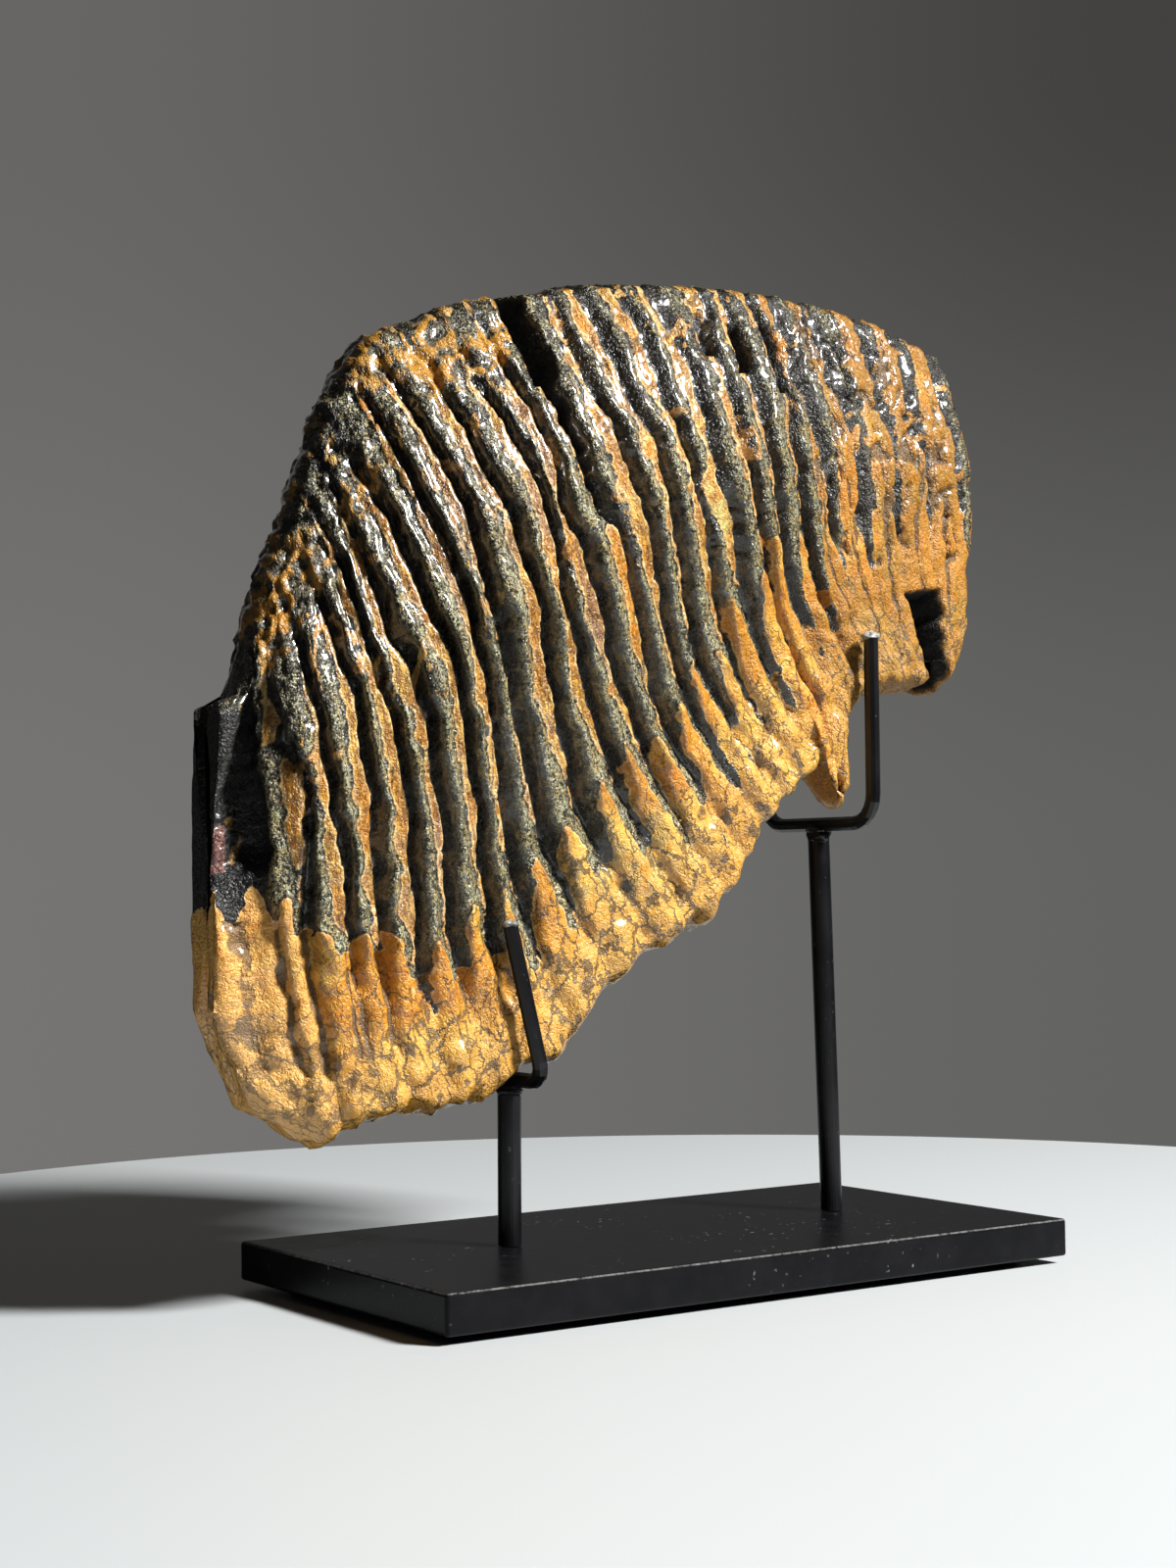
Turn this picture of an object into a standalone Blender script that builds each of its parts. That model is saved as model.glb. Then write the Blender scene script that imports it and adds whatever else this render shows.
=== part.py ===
# Fossil mammoth molar held in two rod cradles on a black steel stand.
# Lengths below are millimetres and are turned into metres by MM. Z is up and X runs along
# the tooth. They are laid out from the middle of the base plate's underside, and each
# finished piece is moved by ORIGIN_SHIFT, which puts the origin under the middle of the
# whole part, level with the pads' feet.
import math

import bmesh
import bpy
import numpy as np
from mathutils import Matrix, Vector

MM = 0.001
GAP = 0.3                       # clearance kept between touching pieces
ORIGIN_SHIFT = (12.0, 0.0, 2.0)

# Base plate and pads
PLATE_LENGTH = 195.0
PLATE_WIDTH = 102.5
PLATE_THICK = 10.0
PLATE_EDGE = 0.9                # rounding of the plate's edges
PAD_DIAMETER = 12.0
PAD_HEIGHT = 2.0
PAD_INSET = 14.0                # pad centre from each plate edge

# Posts: foot x, top x and the height of the cradle bar's centre line
POST_DIAMETER = 6.0
LEFT_POST_FOOT = -47.6
LEFT_POST_TOP = -47.4
RIGHT_POST_FOOT = 58.4
RIGHT_POST_TOP = 55.5
LEFT_BAR_HEIGHT = 52.2
RIGHT_BAR_HEIGHT = 117.0

# Cradles: U-bent rod, half the distance between the arms, tip height and lean
ROD_DIAMETER = 4.0
LEFT_HALF_SPAN = 16.0
LEFT_BEND = 5.5                 # bend radius of the rod's centre line
LEFT_TIP_HEIGHT = 91.0
LEFT_LEAN = math.radians(13.7)  # the left cradle leans towards -X
RIGHT_HALF_SPAN = 23.2
RIGHT_BEND = 8.0
RIGHT_TIP_HEIGHT = 167.0
WELD_HEIGHT = 2.2
WELD_SPREAD = 0.7               # how far the weld bead stands out from the post

# Tooth. A place on it has three coordinates: lamella, counted from the left end,
# rise, from 0 at the root edge to 1 at the crown edge, and across, -1 front to 1 back.
LAMELLAE = 25
COLUMNS_PER_LAMELLA = 4
COLUMN_SHIFT = 0.1              # puts one column of points in each groove
FRONT_ROWS = 17
BACK_ROWS = 13
CROWN_ROWS = 3
ROOT_ROWS = 4
CAP_RINGS = 3

# Edges of the tooth's middle plane as (lamella, x, z), from plate corner x = 0
PLATE_CORNER = -PLATE_LENGTH / 2
ROOT_EDGE = (
    (0, -20.5, 53.5), (0.7, -10, 48.5), (1.5, -1, 47.8), (3, 14, 50.5), (3.8, 23, 50),
    (5, 36, 53.4), (6, 47, 58.3), (7, 59.5, 64.5), (8, 72, 78), (10, 96, 92.5),
    (11.5, 110, 102.5), (13, 119.5, 117.8), (14.4, 128, 126.5), (15.4, 134, 131.5),
    (16.3, 141.5, 136), (16.9, 146, 137.5), (17.6, 147.8, 142), (18.4, 150.2, 151),
    (20, 160, 157), (22, 176, 158.5), (25, 196, 166),
)
CROWN_EDGE = (
    (0, -26, 149), (2, -18, 175), (3, -13, 186), (4, -8.8, 196.6), (6, -0.2, 217.2), (8, 10.8, 232.6),
    (9, 19.5, 236.4), (10, 28.5, 241.2), (12, 46, 246.3), (13, 56, 248.9), (14, 67, 251.5),
    (17, 101, 255.6), (20, 132, 256.7), (22, 152, 255.6), (23, 166, 254),
    (24, 180, 251.6), (25, 194.5, 248.5),
)
# Sideways bow of each lamella at half rise, as (lamella, bow)
LAMELLA_BOW = (
    (0, -5), (2, -2.5), (6, -2), (8, -6.5), (10, -12.5), (13, -14), (17, -13),
    (19, -11), (22, -7), (25, 5),
)
# Half thickness near the root, at the widest and at the crown, as (lamella, half)
ROOT_HALF = ((0, 13.5), (4, 12.6), (7, 12.4), (10, 16), (14, 18.5), (20, 19), (25, 13))
BODY_HALF = ((0, 14), (3, 20), (8, 30), (13, 33), (18, 29), (22, 22.5), (25, 14))
CROWN_HALF = ((0, 5.5), (4, 7.5), (8, 10), (12, 15), (19, 16), (25, 8.5))
ROOT_PLATEAU = 0.18             # rise up to which the root keeps its thickness
WIDEST_RISE = 0.6
CROWN_DOME = 4.5
ROOT_DOME = 4.5
LEFT_DOME = 3.0
RIGHT_DOME = 8.0

# Lobes hanging from the root edge as (lamella, half width, length)
ROOT_LOBES = (
    (0.75, 0.9, 5.5), (3.8, 0.4, 1.5), (5.1, 0.5, 3.5), (6.9, 0.4, 4.0), (8.3, 0.8, 1.5),
    (9.2, 0.4, 1.5), (10.6, 0.5, 4.0), (24.2, 1.1, 4.5),
)
# Root spur hanging from the front edge: lamella, half width and length
SPUR_AT = 16.85
SPUR_HALF = 0.62
SPUR_LENGTH = 13.0
# Hollows in the front face as (lamella, half width, rise, half height, depth)
FRONT_HOLLOWS = (
    (11.75, 0.45, 0.97, 0.14, 5.0), (17.7, 0.3, 0.87, 0.07, 2.5),
    (19.2, 0.35, 0.85, 0.1, 3.0), (4.3, 0.45, 0.03, 0.05, 4.0),
    (22.75, 0.6, 0.1, 0.12, 9.0), (18.6, 0.7, 0.02, 0.08, 5.0),
)
RIDGE_CREST = 0.58              # place of the crest within a lamella's pitch
RIDGE_RISE = 0.9
GROOVE_DEPTH = 1.7
# Rise where root cement gives way to bare ridges, as (lamella, rise)
CEMENT_LINE = ((0, 0.34), (3, 0.26), (7, 0.2), (12, 0.25), (15, 0.3), (19, 0.42), (25, 0.66))
# Share of the ridge relief that still shows, as (lamella, share)
RELIEF_SHARE = ((0, 0.8), (1, 1), (18, 1), (22, 0.7), (25, 0.5))
KNOB_BAND = ((0, 0.2), (9, 0.17), (12, 0.06), (25, 0.05))
KNOB_RISE = 1.1
KNOBS_ALONG = 34

# Outer plate on the left end: how far it stands out, as (height, out), and its top edge
END_PLATE = ((48, 0), (58, 1.5), (68, 4.5), (80, 5.2), (95, 4.6), (115, 3.5), (139, 6.5), (150, 6.5))
END_PLATE_TOP = 144.0

COLOURS = {
    "tooth_fossil": ((0.32, 0.17, 0.055, 1), 0.35, 0.0),
    "black_steel": ((0.012, 0.012, 0.014, 1), 0.42, 0.6),
    "pad_rubber": ((0.02, 0.02, 0.02, 1), 0.8, 0.0),
}


def clear_scene():
    for thing in list(bpy.data.objects):
        bpy.data.objects.remove(thing, do_unlink=True)


def make_material(name):
    colour, roughness, metallic = COLOURS[name]
    material = bpy.data.materials.get(name) or bpy.data.materials.new(name)
    material.use_nodes = True
    shader = material.node_tree.nodes["Principled BSDF"]
    shader.inputs["Base Color"].default_value = colour
    shader.inputs["Roughness"].default_value = roughness
    shader.inputs["Metallic"].default_value = metallic
    return material


def add_piece(name, bm, material):
    bmesh.ops.recalc_face_normals(bm, faces=bm.faces)
    bmesh.ops.translate(bm, vec=Vector(ORIGIN_SHIFT) * MM, verts=bm.verts)
    mesh = bpy.data.meshes.new(name)
    bm.to_mesh(mesh)
    bm.free()
    mesh.materials.append(make_material(material))
    piece = bpy.data.objects.new(name, mesh)
    bpy.context.collection.objects.link(piece)
    return piece


def shade(piece, angle):
    piece.data.shade_smooth()
    piece.data.set_sharp_from_angle(angle=math.radians(angle))


def curve_through(knots, at):
    """Smooth curve through (place, value, ...) knots, read at the given places."""
    table = np.array(knots, float)
    places = table[:, 0]
    values = table[:, 1:]
    steps = np.diff(places)[:, None]
    slopes = np.diff(values, axis=0) / steps
    tangents = np.empty_like(values)
    tangents[0] = slopes[0]
    tangents[-1] = slopes[-1]
    tangents[1:-1] = (slopes[:-1] * steps[1:] + slopes[1:] * steps[:-1]) / (steps[1:] + steps[:-1])
    index = np.clip(np.searchsorted(places, at, side="right") - 1, 0, len(places) - 2)
    length = (places[index + 1] - places[index])[..., None]
    u = (at - places[index])[..., None] / length
    return (
        (2 * u**3 - 3 * u**2 + 1) * values[index]
        + (u**3 - 2 * u**2 + u) * length * tangents[index]
        + (3 * u**2 - 2 * u**3) * values[index + 1]
        + (u**3 - u**2) * length * tangents[index + 1]
    )


def value_at(knots, at):
    return curve_through(knots, at)[..., 0]


def smooth_step(low, high, at):
    u = np.clip((at - low) / (high - low), 0, 1)
    return u * u * (3 - 2 * u)


def bump(at, centre, half_width):
    u = np.clip(np.abs(at - centre) / half_width, 0, 1)
    return (1 - u * u) ** 2


def middle_line(lamella, rise):
    """X and Z of the middle plane at a lamella coordinate and a rise."""
    up = rise[..., None]
    line = curve_through(ROOT_EDGE, lamella) * (1 - up) + curve_through(CROWN_EDGE, lamella) * up
    line[..., 0] += 4 * rise * (1 - rise) * value_at(LAMELLA_BOW, lamella)
    return line


def half_thickness(lamella, rise):
    root = value_at(ROOT_HALF, lamella)
    body = value_at(BODY_HALF, lamella)
    crown = value_at(CROWN_HALF, lamella)
    lower = root + (body - root) * smooth_step(ROOT_PLATEAU, WIDEST_RISE, rise)
    fall = np.clip((rise - WIDEST_RISE) / (1 - WIDEST_RISE), 0, 1)
    return lower + (crown - body) * fall**2


def relief(lamella, rise, across):
    """Height of ridges, knobs and hollows above the plain form."""
    phase = lamella - np.floor(lamella)
    wave = 0.5 + 0.5 * np.cos(2 * np.pi * (phase - RIDGE_CREST))
    ridge = wave**0.7 * (RIDGE_RISE + GROOVE_DEPTH) - GROOVE_DEPTH
    cement = value_at(CEMENT_LINE, lamella)
    share = 0.3 + 0.7 * smooth_step(cement - 0.07, cement + 0.07, rise)
    height = ridge * share * value_at(RELIEF_SHARE, lamella)
    band = value_at(KNOB_BAND, lamella)
    knobs = np.sin(KNOBS_ALONG * rise + 2.1 * np.floor(lamella)) * wave
    height += KNOB_RISE * knobs * smooth_step(1 - band - 0.05, 1 - 0.3 * band, rise)
    height += 0.7 * np.sin(0.9 * lamella + 5 * rise + across) * np.sin(7 * rise - 0.6 * lamella)
    for place, half_width, level, half_height, depth in FRONT_HOLLOWS:
        hollow = bump(lamella, place, half_width) * bump(rise, level, half_height)
        height -= depth * hollow * (across < -0.3)
    return height


def ring_places():
    """Rise and across for each point of one ring, from the front root round."""
    places = [(row / FRONT_ROWS, -1.0, 0.0) for row in range(FRONT_ROWS + 1)]
    for row in range(1, CROWN_ROWS):
        angle = math.pi * row / CROWN_ROWS
        places.append((1.0, -math.cos(angle), math.sin(angle)))
    places += [(1 - row / BACK_ROWS, 1.0, 0.0) for row in range(BACK_ROWS + 1)]
    for row in range(1, ROOT_ROWS):
        angle = math.pi * row / ROOT_ROWS
        places.append((0.0, math.cos(angle), -math.sin(angle)))
    return np.array(places)


def tooth_rings():
    """Points of every ring from the left cap to the right cap, in millimetres."""
    places = ring_places()
    count = LAMELLAE * COLUMNS_PER_LAMELLA
    lamella = (np.arange(count) / COLUMNS_PER_LAMELLA + COLUMN_SHIFT)[:, None] + 0 * places[None, :, 0]
    lamella = np.clip(lamella, 0, LAMELLAE)
    rise = places[None, :, 0] + 0 * lamella
    across = places[None, :, 1] + 0 * lamella
    dome = places[None, :, 2] + 0 * lamella

    line = middle_line(lamella, rise)
    ahead = middle_line(lamella, rise + 0.01) - middle_line(lamella, rise - 0.01)
    ahead /= np.linalg.norm(ahead, axis=-1, keepdims=True)
    root_reach = ROOT_DOME + 0 * lamella
    for place, half_width, length in ROOT_LOBES:
        root_reach += length * bump(lamella, place, half_width)
    reach = np.where(dome > 0, CROWN_DOME, root_reach) * dome
    half = half_thickness(lamella, rise)
    form = np.stack((
        line[..., 0] + ahead[..., 0] * reach,
        across * half,
        line[..., 1] + ahead[..., 1] * reach,
    ), axis=-1)

    along = np.gradient(form, axis=0)
    around = (np.roll(form, -1, axis=1) - np.roll(form, 1, axis=1)) / 2
    normal = np.cross(along, around)
    normal /= np.linalg.norm(normal, axis=-1, keepdims=True)
    form += normal * relief(lamella, rise, across)[..., None]

    spur = SPUR_LENGTH * bump(lamella, SPUR_AT, SPUR_HALF) * bump(rise, 0, 0.16)
    spur *= smooth_step(0.3, -0.7, across)
    form[..., 2] -= spur
    plate = value_at(END_PLATE, form[..., 2]) * (form[..., 2] < END_PLATE_TOP)
    form[..., 0] -= plate * (1 - smooth_step(0, 1, lamella))

    left = cap_rings(form[0], Vector((-1, 0, 0)), LEFT_DOME)
    right = cap_rings(form[-1], Vector((1, 0, 0.1)), RIGHT_DOME)
    rings = np.concatenate((left[::-1], form, right))
    rings[..., 0] += PLATE_CORNER
    return rings


def cap_rings(rim, outward, height):
    """Rings that shrink from the rim to its middle and swell outward."""
    middle = rim.mean(axis=0)
    rings = []
    for step in range(1, CAP_RINGS + 2):
        size = 1 - step / (CAP_RINGS + 1)
        swell = height * math.sqrt(1 - size**3)
        rings.append(middle + (rim - middle) * size + np.array(outward) * swell)
    return np.array(rings)


def build_tooth():
    """A globe is stretched so that its meridians run along the root and crown."""
    rings = tooth_rings()
    rows, points = rings.shape[0] - 1, rings.shape[1]
    bm = bmesh.new()
    bmesh.ops.create_uvsphere(bm, u_segments=points, v_segments=rows, radius=1)
    for vert in bm.verts:
        row = round(math.acos(max(-1.0, min(1.0, vert.co.z))) / math.pi * rows)
        point = round(math.atan2(vert.co.y, vert.co.x) / (2 * math.pi) * points) % points
        if row in (0, rows):
            vert.co = Vector(rings[row].mean(axis=0) * MM)
        else:
            vert.co = Vector(rings[row][point] * MM)
    bmesh.ops.triangulate(bm, faces=bm.faces)
    piece = add_piece("tooth", bm, "tooth_fossil")
    shade(piece, 50)


def build_plate():
    bm = bmesh.new()
    size = Matrix.Diagonal((PLATE_LENGTH * MM, PLATE_WIDTH * MM, PLATE_THICK * MM, 1))
    lift = Matrix.Translation((0, 0, PLATE_THICK / 2 * MM))
    bmesh.ops.create_cube(bm, size=1, matrix=lift @ size)
    bmesh.ops.bevel(
        bm, geom=bm.edges[:], offset=PLATE_EDGE * MM, segments=3, profile=0.5,
        affect="EDGES", material=-1,
    )
    shade(add_piece("base_plate", bm, "black_steel"), 40)


def build_pads():
    across = PLATE_LENGTH / 2 - PAD_INSET
    deep = PLATE_WIDTH / 2 - PAD_INSET
    corners = ((-across, -deep), (across, -deep), (across, deep), (-across, deep))
    height = PAD_HEIGHT - GAP
    for number, (x, y) in enumerate(corners, start=1):
        bm = bmesh.new()
        place = Matrix.Translation((x * MM, y * MM, -(GAP + height / 2) * MM))
        bmesh.ops.create_cone(
            bm, cap_ends=True, segments=24, radius1=PAD_DIAMETER / 2 * MM,
            radius2=PAD_DIAMETER / 2 * MM, depth=height * MM, matrix=place,
        )
        shade(add_piece(f"pad_{number}", bm, "pad_rubber"), 40)


def build_post(name, foot_x, top_x, bar_height):
    """Round bar from the plate up to the underside of the cradle's weld."""
    low = Vector((foot_x, 0, PLATE_THICK + GAP))
    high = Vector((top_x, 0, bar_height - ROD_DIAMETER / 2 - WELD_HEIGHT / 2 - GAP))
    bm = bmesh.new()
    bmesh.ops.create_cone(
        bm, cap_ends=True, segments=24, radius1=POST_DIAMETER / 2 * MM,
        radius2=POST_DIAMETER / 2 * MM, depth=1,
    )
    for vert in bm.verts:
        end = high if vert.co.z > 0 else low
        vert.co = Vector((vert.co.x + end.x * MM, vert.co.y, end.z * MM))
    shade(add_piece(name, bm, "black_steel"), 40)


def cradle_route(half_span, bend, rise):
    """Half of the U from the bar's middle to an arm's tip, as (out, up)."""
    route = [(0.0, 0.0), (half_span - bend, 0.0)]
    for step in range(1, 7):
        angle = math.pi / 2 * step / 6
        route.append((
            half_span - bend + bend * math.sin(angle),
            bend - bend * math.cos(angle),
        ))
    route.append((half_span, rise))
    return route


def build_cradle(name, x, bar_height, half_span, bend, tip_height, lean):
    """U-bent rod with flat-cut tips, and the weld bead under its bar."""
    half = cradle_route(half_span, bend, (tip_height - bar_height) / math.cos(lean))
    route = [(-out, up) for out, up in reversed(half[1:])] + half
    turn = Matrix.Rotation(-lean, 4, "Y")
    curve = bpy.data.curves.new(name + "_route", "CURVE")
    curve.dimensions = "3D"
    curve.bevel_depth = ROD_DIAMETER / 2 * MM
    curve.bevel_resolution = 3
    curve.use_fill_caps = True
    spline = curve.splines.new("POLY")
    spline.points.add(len(route) - 1)
    for point, (out, up) in zip(spline.points, route):
        place = turn @ Vector((0, out * MM, up * MM))
        point.co = (place.x + x * MM, place.y, place.z + bar_height * MM, 1)
    rod = bpy.data.objects.new(name + "_route", curve)
    bpy.context.collection.objects.link(rod)
    bpy.context.view_layer.update()
    bm = bmesh.new()
    bm.from_mesh(rod.to_mesh())
    rod.to_mesh_clear()
    bpy.data.objects.remove(rod, do_unlink=True)
    bmesh.ops.remove_doubles(bm, verts=bm.verts, dist=0.00001)
    piece = add_piece(name, bm, "black_steel")

    bead = bmesh.new()
    radius = (POST_DIAMETER / 2 + WELD_SPREAD) * MM
    place = Matrix.Translation((x * MM, 0, (bar_height - ROD_DIAMETER / 2 + 0.3) * MM))
    bmesh.ops.create_uvsphere(bead, u_segments=16, v_segments=8, radius=radius, matrix=place)
    squash = (WELD_HEIGHT / 2 + 0.3) * MM / radius
    for vert in bead.verts:
        vert.co.z = place.translation.z + (vert.co.z - place.translation.z) * squash
    weld = add_piece(name + "_weld", bead, "black_steel")
    weld.hide_render = True
    weld.display_type = "WIRE"
    union = piece.modifiers.new("weld", "BOOLEAN")
    union.operation = "UNION"
    union.object = weld
    shade(piece, 40)


def main():
    clear_scene()
    build_plate()
    build_pads()
    build_post("post_left", LEFT_POST_FOOT, LEFT_POST_TOP, LEFT_BAR_HEIGHT)
    build_post("post_right", RIGHT_POST_FOOT, RIGHT_POST_TOP, RIGHT_BAR_HEIGHT)
    build_cradle(
        "cradle_left", LEFT_POST_TOP, LEFT_BAR_HEIGHT, LEFT_HALF_SPAN, LEFT_BEND,
        LEFT_TIP_HEIGHT, LEFT_LEAN,
    )
    build_cradle(
        "cradle_right", RIGHT_POST_TOP, RIGHT_BAR_HEIGHT, RIGHT_HALF_SPAN, RIGHT_BEND,
        RIGHT_TIP_HEIGHT, 0.0,
    )
    build_tooth()


main()
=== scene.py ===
# Mounted mammoth molar on a black rod stand
import math

import bmesh
import bpy
import itertools
import numpy as np
from mathutils import Matrix, Vector


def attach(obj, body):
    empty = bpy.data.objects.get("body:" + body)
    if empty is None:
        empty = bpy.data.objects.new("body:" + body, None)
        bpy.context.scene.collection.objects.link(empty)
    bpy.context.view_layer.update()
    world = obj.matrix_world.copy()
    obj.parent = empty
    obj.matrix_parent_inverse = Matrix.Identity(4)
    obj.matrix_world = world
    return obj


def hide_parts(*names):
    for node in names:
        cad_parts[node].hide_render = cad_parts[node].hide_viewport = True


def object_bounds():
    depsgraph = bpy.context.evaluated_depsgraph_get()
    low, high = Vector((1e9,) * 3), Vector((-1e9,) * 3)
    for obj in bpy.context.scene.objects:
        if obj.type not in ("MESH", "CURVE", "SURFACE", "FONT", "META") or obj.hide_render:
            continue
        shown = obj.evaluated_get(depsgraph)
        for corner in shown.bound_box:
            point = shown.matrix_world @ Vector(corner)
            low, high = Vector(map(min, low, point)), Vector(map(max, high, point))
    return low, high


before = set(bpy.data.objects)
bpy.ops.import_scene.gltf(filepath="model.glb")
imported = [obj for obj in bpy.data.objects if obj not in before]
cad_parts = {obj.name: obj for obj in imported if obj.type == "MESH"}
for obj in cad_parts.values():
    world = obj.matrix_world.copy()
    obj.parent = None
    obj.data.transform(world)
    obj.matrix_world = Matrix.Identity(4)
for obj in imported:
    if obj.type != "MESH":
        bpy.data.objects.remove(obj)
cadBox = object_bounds()
mm = 0.001
print("stand and tooth frame loaded")


def curveThrough(knots, at):  # smooth curve through (place, value, ...) knots
    table = np.array(knots, float)
    places, values = table[:, 0], table[:, 1:]
    steps = np.diff(places)[:, None]
    slopes = np.diff(values, axis=0) / steps
    tangents = np.empty_like(values)
    tangents[0], tangents[-1] = slopes[0], slopes[-1]
    tangents[1:-1] = (slopes[:-1] * steps[1:] + slopes[1:] * steps[:-1]) / (steps[1:] + steps[:-1])
    index = np.clip(np.searchsorted(places, at, side="right") - 1, 0, len(places) - 2)
    length = (places[index + 1] - places[index])[..., None]
    u = np.clip((at - places[index])[..., None] / length, 0, 1)
    return (
        (2 * u**3 - 3 * u**2 + 1) * values[index] + (u**3 - 2 * u**2 + u) * length * tangents[index]
        + (3 * u**2 - 2 * u**3) * values[index + 1] + (u**3 - u**2) * length * tangents[index + 1]
    )


def valueAt(knots, at):
    return curveThrough(knots, np.asarray(at, float))[..., 0]


def ramp(low, high, at):  # 0 below low, 1 above high, smooth between
    u = np.clip((at - low) / (high - low), 0, 1)
    return u * u * (3 - 2 * u)


def hump(at, centre, half):
    u = np.clip(np.abs(at - centre) / half, 0, 1)
    return (1 - u * u) ** 2


hashFactors = (73856093, 19349663, 83492791)


def scatter(cells, seed):  # one steady random value, 0 to 1, for each whole-number cell
    mixed = seed * 2654435
    for axis, factor in enumerate(hashFactors):
        mixed = mixed ^ (cells[..., axis] * factor)
    mixed = (mixed ^ (mixed >> 13)) * 1274126177 & 0x7FFFFFFF
    mixed = (mixed ^ (mixed >> 16)) * 668265263 & 0x7FFFFFFF
    return (mixed ^ (mixed >> 15)) % 100003 / 100003


corners = [np.array(corner) for corner in itertools.product((0, 1), repeat=3)]


def grain(place, size, seed):  # soft noise, about -1 to 1, features about one size wide
    place = place / size
    cell = np.floor(place).astype(np.int64)
    within = place - cell
    blend = within**3 * (within * (within * 6 - 15) + 10)
    total = 0
    for corner in corners:
        share = np.prod(np.where(corner, blend, 1 - blend), axis=-1)
        away = within - corner
        slopes = [scatter(cell + corner, seed * 3 + axis) * 2 - 1 for axis in range(3)]
        total = total + share * sum(slopes[axis] * away[..., axis] for axis in range(3))
    return total * 2.2


def pits(place, size, seed):  # distance to the nearest scattered point, in sizes
    place = place / size
    cell = np.floor(place).astype(np.int64)
    nearest = np.full(place.shape[:-1], 9.0)
    for step in itertools.product((-1, 0, 1), repeat=3):
        beside = cell + np.array(step)
        point = beside + np.stack([scatter(beside, seed * 3 + axis) for axis in range(3)], axis=-1)
        nearest = np.minimum(nearest, np.linalg.norm(place - point, axis=-1))
    return nearest


toothForm = {  # knots are (lamella, x, z) or (lamella, mm)
    "lamellae": 25,
    "rootEdge": (
        (0, -20.5, 53.5), (0.7, -10, 48.5), (1.5, -1, 47.8), (3, 14, 50.5), (3.8, 23, 50),
        (5, 36, 53.4), (6, 47, 58.3), (7, 59.5, 64.5), (8, 72, 78), (10, 96, 92.5),
        (11.5, 110, 102.5), (13, 119.5, 117.8), (14.4, 128, 126.5), (15.4, 134, 131.5),
        (16.3, 141.5, 136), (16.9, 146, 138), (17.6, 147.5, 142), (18.4, 150, 151),
        (20, 160, 157), (22, 176, 158.5), (25, 196, 166),
    ),
    "crownEdge": (
        (0, -26, 149), (2, -18, 175), (3, -13, 186), (4, -8.8, 196.6), (6, -0.2, 217.2),
        (8, 10.8, 232.6), (9, 19.5, 236.4), (10, 28.5, 241.2), (12, 46, 246.3), (13, 56, 248.9),
        (14, 67, 251.5), (17, 101, 255.6), (20, 132, 256.7), (22, 152, 255.6), (23, 166, 254),
        (24, 180, 251.6), (25, 194.5, 248.5),
    ),
    "bow": (
        (0, -5), (2, -2.5), (6, -2), (8, -6.5), (10, -12.5), (13, -14), (17, -13),
        (19, -11), (22, -7), (25, 2.5),
    ),
    "rootHalf": ((0, 13.5), (4, 12.6), (7, 12.4), (10, 16), (14, 18.5), (20, 19), (25, 13)),
    "bodyHalf": ((0, 14), (3, 20), (8, 30), (13, 33), (18, 29), (22, 22.5), (25, 14)),
    "crownHalf": ((0, 5.5), (4, 7.5), (8, 10), (12, 15), (19, 16), (25, 8.5)),
    "rootLobes": (  # (lamella, half width, mm)
        (0.75, 0.9, 5.5), (3.8, 0.4, 1.5), (5.1, 0.5, 3.5), (6.9, 0.4, 4.0), (8.3, 0.8, 1.5),
        (9.2, 0.4, 1.5), (10.6, 0.5, 4.0), (24.2, 1.1, 4.5),
    ),
    "endPlate": ((48, 0), (58, 1.5), (68, 4.5), (80, 5.2), (95, 4.6), (115, 3.5), (139, 6.5), (150, 6.5)),
    "endPlateTop": (143, 147), "endPlateReach": 3.0,  # endPlate is (z, mm)
    "crownReach": 4.5, "rootReach": 4.5,
    "nose": {"lamellae": 2.2, "thinned": 0.66, "behind": 4.0},
    "spur": {"lamella": 16.9, "drop": 13.0},
    "shift": (-85.5, 0, 2.0),  # puts the tooth over the stand
    "rows": {"front": 185, "crown": 14, "back": 50, "root": 11, "perLamella": 14, "cap": 12},
}
relief = {  # heights and depths in mm; a pair is the base and what is added where it is strongest
    "ridge": 4.1, "valley": 3.0, "endStrip": 0.7, "finger": 0.5, "tongue": 0.6, "cleft": 1.1,
    "rootPit": 0.5, "rootLump": (0.3, 0.5), "knob": 1.2, "smallKnob": 0.7, "worn": 1.4,
    "lump": 0.14, "fineLump": 0.08, "swell": 0.5, "fold": (0.25, 0.85), "rib": (0.4, 0.5),
    "slit": 1.5, "split": 0.8, "plate": 1.4, "trough": 4.5, "chunk": 1.2, "sliver": 1.6, "endRidge": 1.6,
}
chunkBox = {"lane": 0.04, "halfLane": (0.2, 0.17), "rise": 0.587, "halfRise": (0.058, 0.052)}
laneWide = 8.5  # mm from one lamella to the next, on average

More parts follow.
